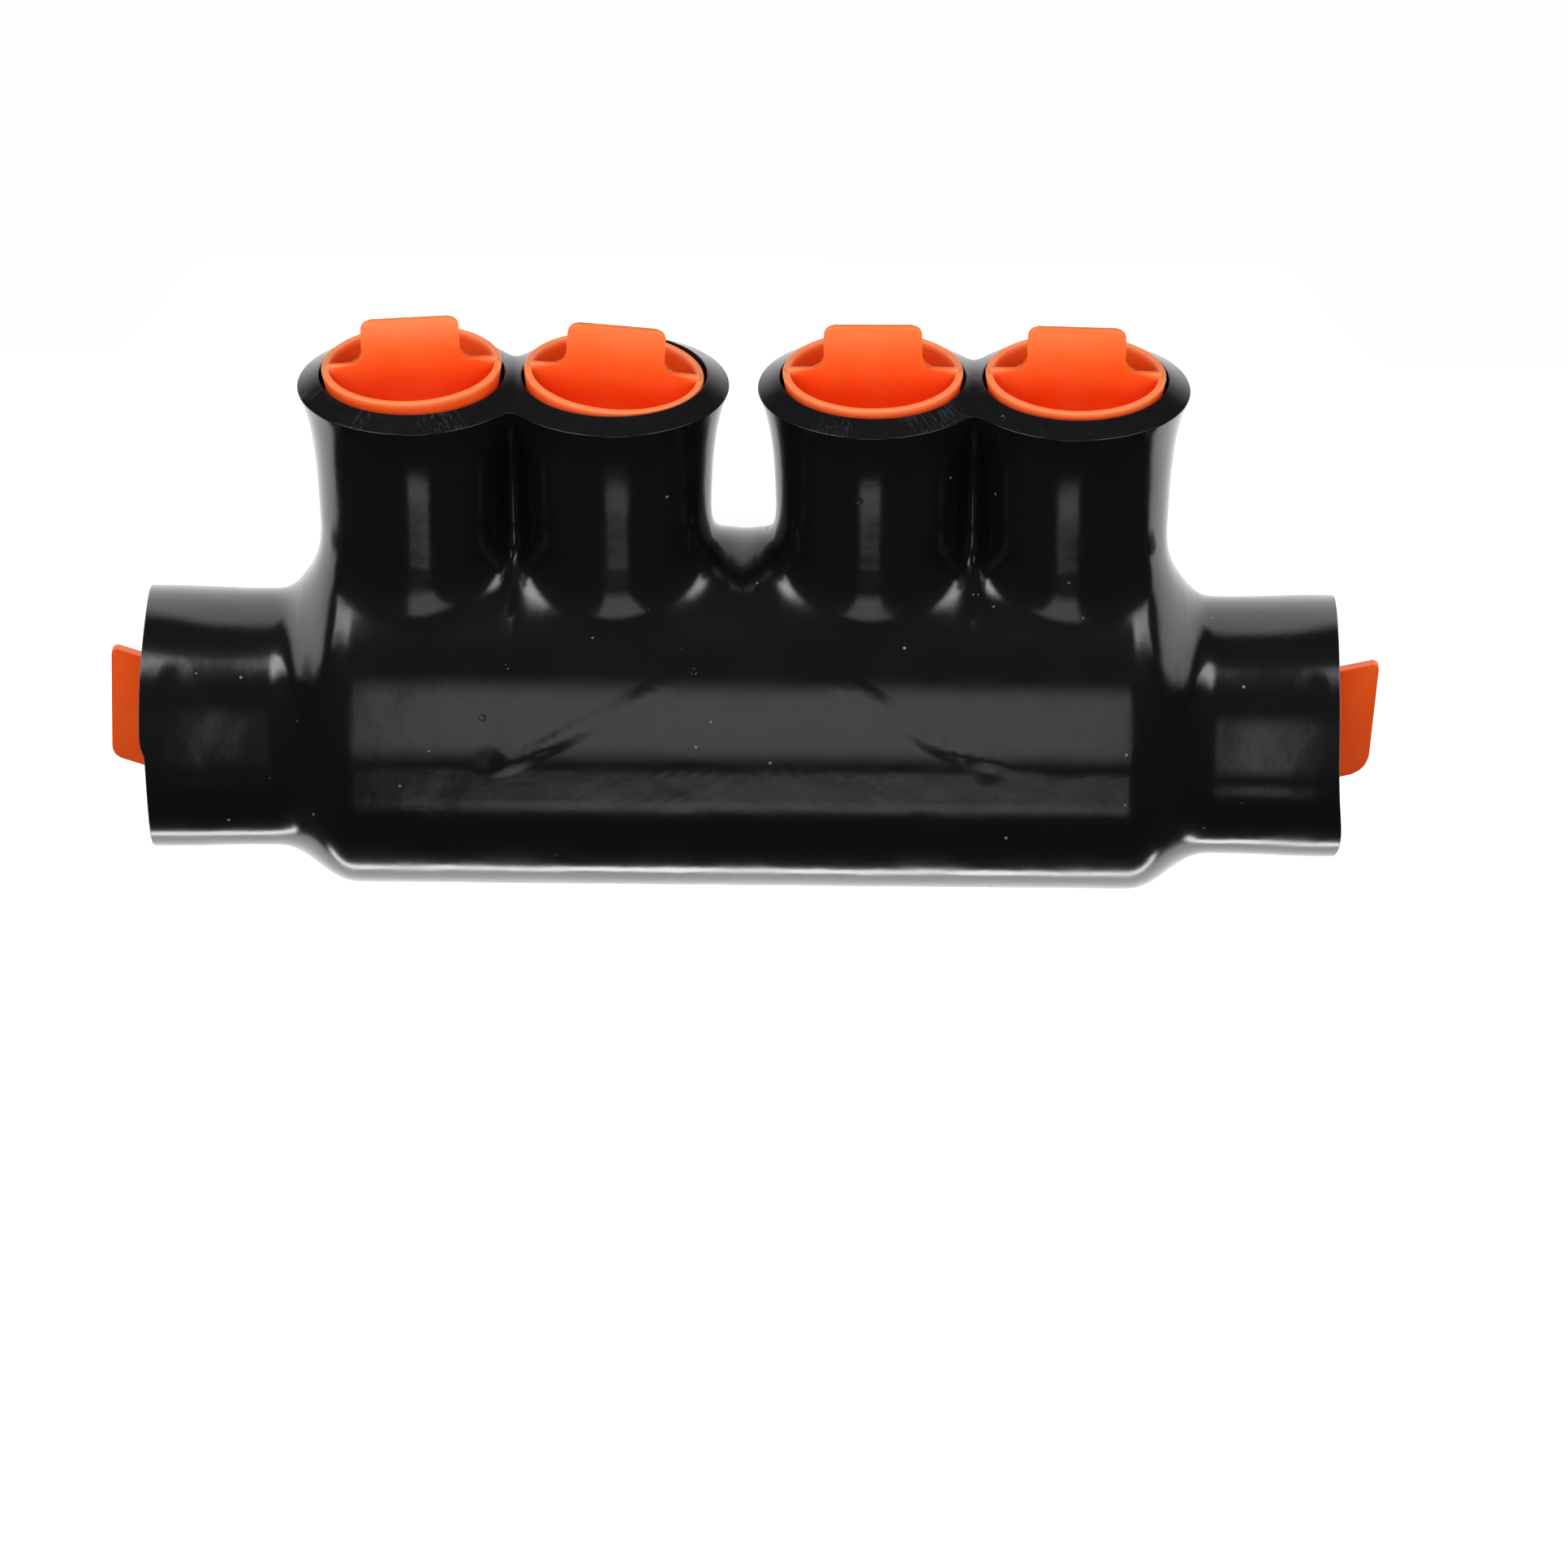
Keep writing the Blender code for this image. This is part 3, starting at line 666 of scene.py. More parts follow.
def smooth_min(a: Points, b: Points, blend: float) -> Points:
    """Return the lower of a and b, rounded where they are closer than blend."""
    overlap = np.maximum(blend - np.abs(a - b), 0.0) / blend
    return np.minimum(a, b) - overlap**3 * blend / 6


class Region(IntEnum):
    """The surfaces of the jacket."""

    SKIN = 0
    LIP = 1
    WELL = 2
    CUT = 3
    TUBE = 4


@dataclass(frozen=True)
class Skin:
    """The jacket's outer skin as a distance: body, tubes and chimneys, blended."""

    sizes: Sizes = SIZES
    step: float = 1e-6
    inset: float = 0.00015      # the solids' flat facets lie this far inside the round form
    steepest: float = 1.2       # where the chimney's flare and the blend beside it stop growing

    def tube_radius(self, along: Points) -> Points:
        """Return the tube's radius at a distance from the middle."""
        s = self.sizes
        waist = np.clip((along - s.shoulder_end) / s.waist_length, 0.0, 1.0)
        return s.tube_radius - s.tube_waist * (1 - ease(waist))

    def chimney_radius(self, height: Points) -> Points:
        """Return a chimney's radius at a height."""
        s = self.sizes
        climb = np.clip(1 - (s.rim_height - height) / s.neck_length, 0.0, self.steepest)
        flare = s.rim_radius - s.neck_radius - s.neck_taper
        return s.neck_radius + s.neck_taper * climb + flare * climb**4

    def distance(self, points: Points) -> Points:
        """Return how far each point is outside the skin."""
        s = self.sizes
        along, y, z = np.abs(points[:, 0]), points[:, 1], points[:, 2]
        body = ease((s.shoulder_end - along) / s.shoulder_length)
        tube = self.tube_radius(along)
        radius = tube + (s.body_radius - tube) * body
        trunk = np.hypot(y, z - np.clip(z, 0.0, s.bar_rise * body)) - radius
        across = along - s.pair_offset
        half = s.screw_spacing / 2
        near, far = (np.hypot(across + side, y) - self.chimney_radius(z) for side in (half, -half))
        pair = smooth_min(near, far, s.pair_blend)
        web = np.maximum(np.abs(y) - s.web_half, np.abs(across) - half)
        pair = smooth_min(pair, web, s.web_blend)
        beside = np.clip(np.abs(np.abs(across) - half) / s.neck_radius, 0.0, self.steepest)
        blend = s.base_blend + s.side_blend * beside**2
        return smooth_min(trunk, np.maximum(pair, -z), blend) + self.inset

    def slope(self, points: Points) -> Points:
        """Return the gradient of the distance."""
        found = np.empty_like(points)
        for axis in range(3):
            offset = np.zeros(3)
            offset[axis] = self.step
            rise = self.distance(points + offset) - self.distance(points - offset)
            found[:, axis] = rise / (2 * self.step)
        return found

    def drop(self, points: Points, free: Sequence = (1.0, 1.0, 1.0), passes: int = 4) -> Points:
        """Move points onto the skin, only along the free axes."""
        for _ in range(passes):
            slope = self.slope(points) * np.asarray(free)
            size = np.maximum((slope**2).sum(axis=1), 1e-3)
            points = points - slope * (self.distance(points) / size)[:, None]
        return points

    def lip(self, points: Points) -> Points:
        """Return the height of the sloping lip round a pair's mouths."""
        s = self.sizes
        across = np.abs(points[:, 0]) - s.pair_offset
        slope = s.lip_rise / (s.rim_radius - s.mouth_radius)
        cones = []
        for side in (1, -1):
            reach = np.hypot(across + side * s.screw_spacing / 2, points[:, 1])
            cones.append(slope * (np.maximum(reach, s.mouth_radius - 0.002) - s.mouth_radius))
        return s.mouth_height - smooth_min(cones[0], cones[1], s.web_blend)

    def rim(self, points: Points, passes: int = 6) -> Points:
        """Move points onto the rim, where the lip meets the skin."""
        for _ in range(passes):
            points[:, 2] = self.lip(points)
            points = self.drop(points, free=(1.0, 1.0, 0.0), passes=1)
        points[:, 2] = self.lip(points)
        return points


@dataclass
class JacketNet:
    """The jacket's surfaces as one net of quads, drawn for a quarter and mirrored."""

    skin: Skin = field(default_factory=Skin)
    gap_steps: int = 4
    chimney_steps: int = 12
    tube_steps: int = 8
    body_rows: int = 15
    chimney_rows: int = 8
    saddle_steps: int = 3
    lip_rows: int = 2
    finer: int = 3
    first_passes: int = 60
    last_passes: int = 12
    rim_round: float = 0.00014
    quads: list = field(default_factory=list)

    def body_point(self, x: float, turn: float) -> tuple:
        """Return a point of the plain body: turn runs from 0 at the bottom to 1 at the top."""
        s = self.skin.sizes
        angle = math.pi * (turn - 0.5)
        rise = s.bar_rise * max(0.0, math.sin(angle))
        return (x, -s.body_radius * math.cos(angle), s.body_radius * math.sin(angle) + rise)

    def climbing(self) -> list:
        """Return the columns that climb a pair, as (foot x, chimney x, rim point)."""
        s = self.skin.sizes
        steps, half, reach = self.chimney_steps, s.screw_spacing / 2, s.rim_radius
        saddle = math.acos(half / reach)
        columns = []
        sweeps = (
            (s.pair_offset - half, math.pi, saddle),
            (s.pair_offset + half, math.pi - saddle, 0),
        )
        for centre, first, last in sweeps:
            for i in range(steps + 1):
                angle = first + (last - first) * i / steps
                x, y = centre + reach * math.cos(angle), -reach * math.sin(angle)
                rim = self.skin.rim(np.array([[x, y, s.rim_height]]))[0]
                columns.append((centre + half * (2 * i / steps - 1), centre, tuple(rim)))
        del columns[steps + 1]
        return columns

    def column(self, foot: float, centre: float, rim: tuple) -> list:
        """Return one column from the body's bottom up to the rim."""
        s = self.skin.sizes
        outward = Vector((rim[0] - centre, rim[1])).normalized()
        outward *= s.neck_radius + s.base_blend / 2
        turn = 0.5 + math.acos(min(1.0, -outward.y / s.body_radius)) / math.pi
        points = []
        for row in range(self.body_rows + 1):
            share = row / self.body_rows
            x = foot + (centre + outward.x - foot) * share**2
            points.append(self.body_point(x, turn * share))
        base, rows = Vector(points[-1]), self.chimney_rows
        points += [tuple(base.lerp(Vector(rim), row / rows)) for row in range(1, rows + 1)]
        return points

    def strip(self, region: Region, left: list, right: list) -> None:
        """Add the quads between two columns of points."""
        for row in range(min(len(left), len(right)) - 1):
            self.quads.append((region, (left[row], right[row], right[row + 1], left[row + 1])))

    def on_lip(self, x: float, y: float) -> tuple:
        """Return the point of the lip over a place."""
        return (x, y, float(self.skin.lip(np.array([[x, y, 0.0]]))[0]))

    def well(self, centre: float, point: tuple) -> tuple:
        """Return the points across the lip to the mouth, and down the chimney's inside."""
        s = self.skin.sizes
        angle = math.atan2(point[1], point[0] - centre)
        ray = Vector((math.cos(angle), math.sin(angle)))
        mouth = Vector((centre, 0)) + ray * s.mouth_radius
        across = []
        for row in range(self.lip_rows + 1):
            spot = Vector(point[:2]).lerp(mouth, row / self.lip_rows)
            across.append(self.on_lip(spot.x, spot.y) if row else (spot.x, spot.y, point[2]))
        down = [across[-1]]
        for radius, height in self.well_profile()[1:]:
            down.append((centre + ray.x * radius, ray.y * radius, height))
        return across, down

    def well_profile(self) -> list:
        """Return the chimney's inside as (radius, height) from the mouth down."""
        s = self.skin.sizes
        foot = s.mouth_height + min(s.cap_stands) - s.cap_depth - 2 * s.fit
        recess = s.mouth_radius - s.recess_draft
        return [
            (s.mouth_radius, s.mouth_height),
            (recess, foot),
            (s.chimney_bore, foot - s.recess_step),
            (s.chimney_bore, (foot + s.bar_land) / 2),
            (s.chimney_bore, s.bar_land - s.fit),
        ]

    def draw_quarter(self) -> None:
        """Draw the front right quarter."""
        s = self.skin.sizes
        climbing = self.climbing()
        first = climbing[0][0] - s.base_blend / 4
        last = climbing[-1][0] + s.base_blend / 4
        end = s.port_span / 2

        def plain(x: float) -> list:
            return [self.body_point(x, row / self.body_rows) for row in range(self.body_rows + 1)]

        columns = [plain(first * i / self.gap_steps) for i in range(self.gap_steps)]
        columns += [self.column(*column) for column in climbing]
        steps = self.tube_steps
        columns += [plain(last + (end - last) * i / steps) for i in range(1, steps + 1)]
        for left, right in zip(columns, columns[1:]):
            self.strip(Region.SKIN, left, right)

        rims = [column[2] for column in climbing]
        valley = rims[self.chimney_steps]
        saddle = []
        for i in range(1, self.saddle_steps + 1):
            saddle.append(self.on_lip(s.pair_offset, valley[1] * (1 - i / self.saddle_steps)))
        for centre, loop in (
            (climbing[0][1], rims[: self.chimney_steps + 1] + saddle),
            (climbing[-1][1], rims[: self.chimney_steps - 1 : -1] + saddle),
        ):
            rays = [self.well(centre, point) for point in loop]
            for left, right in zip(rays, rays[1:]):
                self.strip(Region.LIP, left[0], right[0])
                self.strip(Region.WELL, left[1], right[1])

        rays = []
        for x, y, z in columns[-1]:
            angle = math.atan2(z, y)
            inner = (x, s.tube_bore * math.cos(angle), s.tube_bore * math.sin(angle))
            seat = s.bar_length / 2 + s.fit
            deep = [(seat + (x - seat) * i / 4, inner[1], inner[2]) for i in (4, 3, 2, 1, 0)]
            rays.append(([(x, y, z), inner], deep))
        for left, right in zip(rays, rays[1:]):
            self.strip(Region.CUT, left[0], right[0])
            self.strip(Region.TUBE, left[1], right[1])

    def mirrored(self) -> bmesh.types.BMesh:
        """Return all four quarters as one bmesh, with regions as material numbers."""
        form = bmesh.new()
        found: dict = {}
        for sign_x in (1, -1):
            for sign_y in (1, -1):
                for region, corners in self.quads:
                    made = []
                    for x, y, z in corners:
                        key = (round(sign_x * x, 6) + 0.0, round(sign_y * y, 6) + 0.0, round(z, 6))
                        if key not in found:
                            found[key] = form.verts.new((sign_x * x, sign_y * y, z))
                        if found[key] not in made:
                            made.append(found[key])
                    if len(made) > 2:
                        face = form.faces.new(made if sign_x * sign_y > 0 else made[::-1])
                        face.material_index = region
        form.normal_update()
        return form

    @staticmethod
    def read(form: bmesh.types.BMesh) -> tuple:
        """Return the form's points, its edges, and for each point the set of regions as bits."""
        form.verts.index_update()
        points = places(form.verts)
        pairs = np.array([[vert.index for vert in edge.verts] for edge in form.edges])
        regions = np.zeros(len(points), dtype=int)
        for face in form.faces:
            for vert in face.verts:
                regions[vert.index] |= 1 << face.material_index
        return points, pairs, regions

    def settle(self, form: bmesh.types.BMesh, passes: int) -> None:
        """Put each point on its surface and even out the skin."""
        skin, s = self.skin, self.skin.sizes
        points, pairs, regions = self.read(form)
        on = {region: regions & 1 << region > 0 for region in Region}
        loose = regions == 1 << Region.SKIN
        rim = on[Region.SKIN] & on[Region.LIP]
        lip = regions == 1 << Region.LIP
        mouth, bore = on[Region.WELL], on[Region.TUBE]
        end = on[Region.SKIN] & on[Region.CUT]

        points[rim] = skin.rim(points[rim])
        points[lip, 2] = skin.lip(points[lip])
        points[end] = skin.drop(points[end], free=(0.0, 1.0, 1.0), passes=8)
        self.round_wells(points, mouth)
        size = np.hypot(points[bore, 1], points[bore, 2])
        points[bore, 1:] *= (s.tube_bore / size)[:, None]

        count = np.bincount(pairs.ravel(), minlength=len(points))[:, None]
        points[loose] = skin.drop(points[loose], passes=8)
        for _ in range(passes):
            total = np.zeros_like(points)
            np.add.at(total, pairs[:, 0], points[pairs[:, 1]])
            np.add.at(total, pairs[:, 1], points[pairs[:, 0]])
            points[loose] = skin.drop((0.5 * points + 0.5 * total / count)[loose], passes=1)
        points[loose] = skin.drop(points[loose])
        for vert, place in zip(form.verts, points):
            vert.co = place

    def round_wells(self, points: Points, mouth: Points) -> None:
        """Bring the points of the chimneys' insides to their true radius."""
        s = self.skin.sizes
        radii, heights = zip(*reversed(self.well_profile()))
        for centre in s.chimneys:
            mine = mouth & (np.hypot(points[:, 0] - centre, points[:, 1]) < s.mouth_radius * 1.02)
            around = points[mine]
            radius = np.interp(around[:, 2], heights, radii)
            size = np.hypot(around[:, 0] - centre, around[:, 1])
            around[:, 0] = centre + (around[:, 0] - centre) * radius / size
            around[:, 1] *= radius / size
            points[mine] = around

    def normals(self, points: Points, regions: Points) -> Points:
        """Return the true normal at each point that lies on one surface."""
        s, skin = self.skin.sizes, self.skin
        found = np.zeros_like(points)
        on = regions & (1 << Region.SKIN) > 0
        found[on] = skin.slope(points[on])
        on = regions == 1 << Region.LIP
        for axis in (0, 1):
            offset = np.zeros(3)
            offset[axis] = skin.step
            rise = skin.lip(points[on] + offset) - skin.lip(points[on] - offset)
            found[on, axis] = -rise / (2 * skin.step)
        found[on, 2] = 1.0
        on = regions == 1 << Region.WELL
        centres = np.array(s.chimneys)
        nearest = centres[np.abs(points[on, 0][:, None] - centres).argmin(axis=1)]
        found[on, 0] = nearest - points[on, 0]
        found[on, 1] = -points[on, 1]
        on = regions == 1 << Region.CUT
        found[on, 0] = np.sign(points[on, 0])
        on = regions == 1 << Region.TUBE
        found[on, 1:] = -points[on, 1:]
        size = np.linalg.norm(found, axis=1)[:, None]
        return found / np.maximum(size, 1e-9)

    def build(self) -> tuple:
        """Return the finished net and the normals of its points."""
        self.draw_quarter()
        form = self.mirrored()
        self.settle(form, self.first_passes)
        bmesh.ops.subdivide_edges(form, edges=form.edges, cuts=self.finer, use_grid_fill=True)
        self.settle(form, self.last_passes)
        bmesh.ops.recalc_face_normals(form, faces=form.faces)
        sides = {edge: {face.material_index for face in edge.link_faces} for edge in form.edges}
        rims = [edge for edge, found in sides.items() if len(found) == 2]
        rounded = bmesh.ops.bevel(
            form, geom=rims, offset=self.rim_round, segments=1, profile=0.5, affect="EDGES"
        )
        strips = set(rounded["faces"])
        form.verts.index_update()
        regions = np.zeros(len(form.verts), dtype=int)
        for face in form.faces:
            if face not in strips:
                for vert in face.verts:
                    regions[vert.index] |= 1 << face.material_index
        normals = self.normals(places(form.verts), regions)
        form.normal_update()
        for face in form.faces:
            true = normals[[vert.index for vert in face.verts]].sum(axis=0)
            if face.normal.dot(Vector(true)) < 0:
                face.normal_flip()
        return form, normals


@dataclass
class Jacket(Piece):
    """The dip-moulded cover: skin, trimmed lips, wells and tubes."""

    net: JacketNet = field(default_factory=JacketNet)
    skin: Finish = field(default_factory=Plastisol)
    cut: Finish = field(default_factory=PlastisolCut)
    trim_reach: float = 0.004

    def around(self, points: Points) -> Points:
        """Return for each point its angle round its chimney and its distance from the axis."""
        centres = np.array(self.net.skin.sizes.chimneys)
        nearest = np.abs(points[:, 0][:, None] - centres).argmin(axis=1)
        across = points[:, 0] - centres[nearest]
        turn = np.arctan2(points[:, 1], across)
        return np.stack([turn, np.hypot(across, points[:, 1]), nearest.astype(float)], axis=1)

    def trim_ends(self, points: Points) -> None:
        """Draw parts of the tubes' cut ends in, as they were trimmed by hand."""
        s = self.net.skin.sizes
        for sign, cut in ((-1, self.left_cut), (1, self.right_cut)):
            share = ease((sign * points[:, 0] - s.port_span / 2) / self.trim_reach + 1)
            angle = np.arctan2(points[:, 2], -points[:, 1])
            points[:, 0] -= sign * share * cut(angle)

    @staticmethod
    def left_cut(angle: Points) -> Points:
        """Return how far the left end is cut back at an angle up from the front."""
        notch = ease((0.30 - angle) / 0.16) * ease((angle + 2.6) / 0.8)
        return 0.00005 + 0.0006 * notch + 0.0002 * np.cos(2 * angle + 0.4) ** 2

    @staticmethod
    def right_cut(angle: Points) -> Points:
        """Return how far the right end is cut back at an angle up from the front."""
        bulge = np.exp(-(((angle + 0.55) / 0.45) ** 2))
        return 0.0008 * (1 - bulge) + 0.00004

    def build(self) -> list:
        """Make the jacket."""
        form, normals = self.net.build()
        mesh = bpy.data.meshes.new("jacket")
        form.to_mesh(mesh)
        form.free()
        points = places(mesh.vertices)
        store(mesh, "around", self.around(points))
        self.trim_ends(points)
        turn = np.array(REST.to_3x3())
        placed = points @ turn.T + np.array(REST.translation)
        mesh.vertices.foreach_set("co", placed.astype(np.float32).ravel())
        mesh.shade_smooth()
        mesh.normals_split_custom_set_from_vertices(normals @ turn.T)
        for finish in (self.skin, self.cut, self.skin, self.cut, self.skin):
            mesh.materials.append(finish.material())
        mesh.update()
        return [self.add("jacket", mesh, "splice", "jacket", "cover")]


class Recipe:
    """A geometry-nodes tree with named sizes, which draws a mesh for each set of values."""

    def __init__(self, name: str, sizes: Sequence[str]) -> None:
        """Start the tree.

        Args:
            name: The tree's name.
            sizes: The names of its inputs.
        """
        self.group = bpy.data.node_groups.new(name, "GeometryNodeTree")
        self.graph = Graph(self.group)
        self.keys = {}
        sockets = self.group.interface
        for label in sizes:
            made = sockets.new_socket(label, in_out="INPUT", socket_type="NodeSocketFloat")
            self.keys[label] = made.identifier
        sockets.new_socket("Geometry", in_out="OUTPUT", socket_type="NodeSocketGeometry")
        entry = self.group.nodes.new("NodeGroupInput")
        self.sizes = [Term(self.graph, entry.outputs[label]) for label in sizes]

    def finish(self, shape: Term, finish: Finish) -> None:
        """End the tree with real geometry in its material."""
        real = self.graph.node("GeometryNodeRealizeInstances", {"Geometry": shape})
        inputs = {"Geometry": real, "Material": finish.material()}
        done = self.graph.node("GeometryNodeSetMaterial", inputs)
        self.graph.node("NodeGroupOutput", {"Geometry": done})

    def draw(self, *values: float) -> bpy.types.Mesh:
        """Draw a mesh.

        Args:
            *values: The sizes, in the order of the inputs.

        Returns:
            The finished mesh.
        """
        holder = linked("source", bpy.data.meshes.new("empty"))
        modifier = holder.modifiers.new("recipe", "NODES")
        modifier.node_group = self.group
        for key, value in zip(self.keys.values(), values):
            modifier[key] = value
        bpy.context.view_layer.update()
        graph = bpy.context.evaluated_depsgraph_get()
        mesh = bpy.data.meshes.new_from_object(holder.evaluated_get(graph), depsgraph=graph)
        holder.modifiers.clear()
        bpy.data.objects.remove(holder, do_unlink=True)
        return mesh


@dataclass(frozen=True)
class PushCap:
    """Sizes of a push-in cup with a web across it and a grip tab on the web."""

    radius: float
    depth: float
    draft: float
    wall: float
    web: float
    web_rise: float
    tab_width: float
    tab_height: float
    tab_corners: tuple
    tab_fillet: float
    lean: float
    edge: float = 0.00022
    ledge_depth: float = 0.0029
    ledge: float = 0.0012


SCREW_CAP = PushCap(
    radius=SIZES.cap_radius, depth=SIZES.cap_depth, draft=0.0015, wall=0.0010,
    web=0.0010, web_rise=0.0004,
    tab_width=0.0127, tab_height=0.00599, tab_corners=(0.0013, 0.0013), tab_fillet=0.0013,
    lean=0.0,
)
LEFT_PLUG = PushCap(
    radius=SIZES.tube_bore - SIZES.fit, depth=0.0110, draft=0.0016, wall=0.0012,
    web=0.0014, web_rise=0.0003,
    tab_width=0.0164, tab_height=0.00836, tab_corners=(0.0010, 0.0012), tab_fillet=0.0013,
    lean=math.radians(28),
)
RIGHT_PLUG = replace(LEFT_PLUG, tab_corners=(0.0024, 0.0010), tab_height=0.00839)


class CupRecipe(Recipe):
    """The cup of a cap or plug: its section from corner to corner, rounded and turned."""

    foot_round: float = 0.0007      # rounding under the foot
    floor_round: float = 0.0006     # rounding inside it
    taper: float = 0.0002           # how far the ring narrows, and its ledge falls
    arc_steps: int = 5

    def __init__(self, finish: Finish, steps: int = 128) -> None:
        """Build the tree.

        Args:
            finish: The cup's finish.
            steps: Steps round the axis.
        """
        labels = ("Radius", "Depth", "Draft", "Wall", "Ledge", "Ledge Depth", "Edge")
        super().__init__("turned_cup", labels)
        radius, depth, draft, wall, ledge, ledge_depth, edge = self.sizes
        graph = self.graph
        foot, inner = radius - draft, radius - wall
        corners = (
            (0.0, depth * -1.0, 0.0),
            (foot * 0.6, depth * -1.0, 0.0),
            (foot, depth * -1.0, self.foot_round),
            (radius, 0.0, edge),
            (inner, 0.0, edge),
            (inner - self.taper, ledge_depth * -1.0, edge),
            (inner - ledge, ledge_depth * -1.0 - self.taper, edge),
            (foot - wall - 0.0003, wall - depth, self.floor_round),
            (foot * 0.45, wall - depth, 0.0),
            (0.0, wall - depth, 0.0),
        )
        line = graph.node("GeometryNodeMeshLine", {"Count": len(corners)}, "Mesh")
        spots = self.switch("VECTOR", [graph.vector(x, 0.0, z) for x, z, _ in corners])
        bent = graph.node("GeometryNodeSetPosition", {"Geometry": line, "Position": spots})
        curve = graph.node("GeometryNodeMeshToCurve", {"Mesh": bent}, "Curve")
        rounds = self.switch("FLOAT", [fillet for _, _, fillet in corners])
        inputs = {"Curve": curve, "Count": self.arc_steps, "Radius": rounds, "Limit Radius": True}
        section = graph.node("GeometryNodeFilletCurve", inputs, mode="POLY")
        inputs = {"Geometry": section}
        count = graph.node(
            "GeometryNodeAttributeDomainSize", inputs, "Point Count", component="CURVE"
        )
        inputs = {"Size X": 1.0, "Size Y": 1.0, "Vertices X": count, "Vertices Y": steps + 1}
        grid = graph.node("GeometryNodeMeshGrid", inputs, "Mesh")
        here = graph.node("GeometryNodeInputPosition")
        row, turn, _ = here.parts()
        inputs = {0: (row + 0.5) * (count - 1.0)}
        index = graph.node("FunctionNodeFloatToInt", inputs, rounding_mode="ROUND")
        inputs = {"Geometry": section, "Value": here, "Index": index}
        spot = graph.node(
            "GeometryNodeSampleIndex", inputs, "Value", data_type="FLOAT_VECTOR", domain="POINT"
        )
        out, _, height = spot.parts()
        angle = turn * (2 * math.pi)
        place = graph.vector(out * angle.call("COSINE"), out * angle.call("SINE"), height)
        turned = graph.node("GeometryNodeSetPosition", {"Geometry": grid, "Position": place})
        inputs = {"Geometry": turned, "Distance": 1e-6}
        self.finish(graph.node("GeometryNodeMergeByDistance", inputs), finish)

    def switch(self, kind: str, values: list) -> Term:
        """Return the value whose place in the list is the point's index."""
        made = self.group.nodes.new("GeometryNodeIndexSwitch")
        made.data_type = kind
        while len(made.index_switch_items) < len(values):
            made.index_switch_items.new()
        self.group.links.new(self.graph.node("GeometryNodeInputIndex").socket, made.inputs[0])
        for socket, value in zip(made.inputs[1:], values):
            if isinstance(value, Term):
                self.group.links.new(value.socket, socket)
            else:
                socket.default_value = value
        return Term(self.graph, made.outputs[0])

    def of(self, cap: PushCap) -> bpy.types.Mesh:
        """Draw the cup of one design."""
        ledge = (cap.ledge, cap.ledge_depth)
        return self.draw(cap.radius, cap.depth, cap.draft, cap.wall, *ledge, cap.edge)


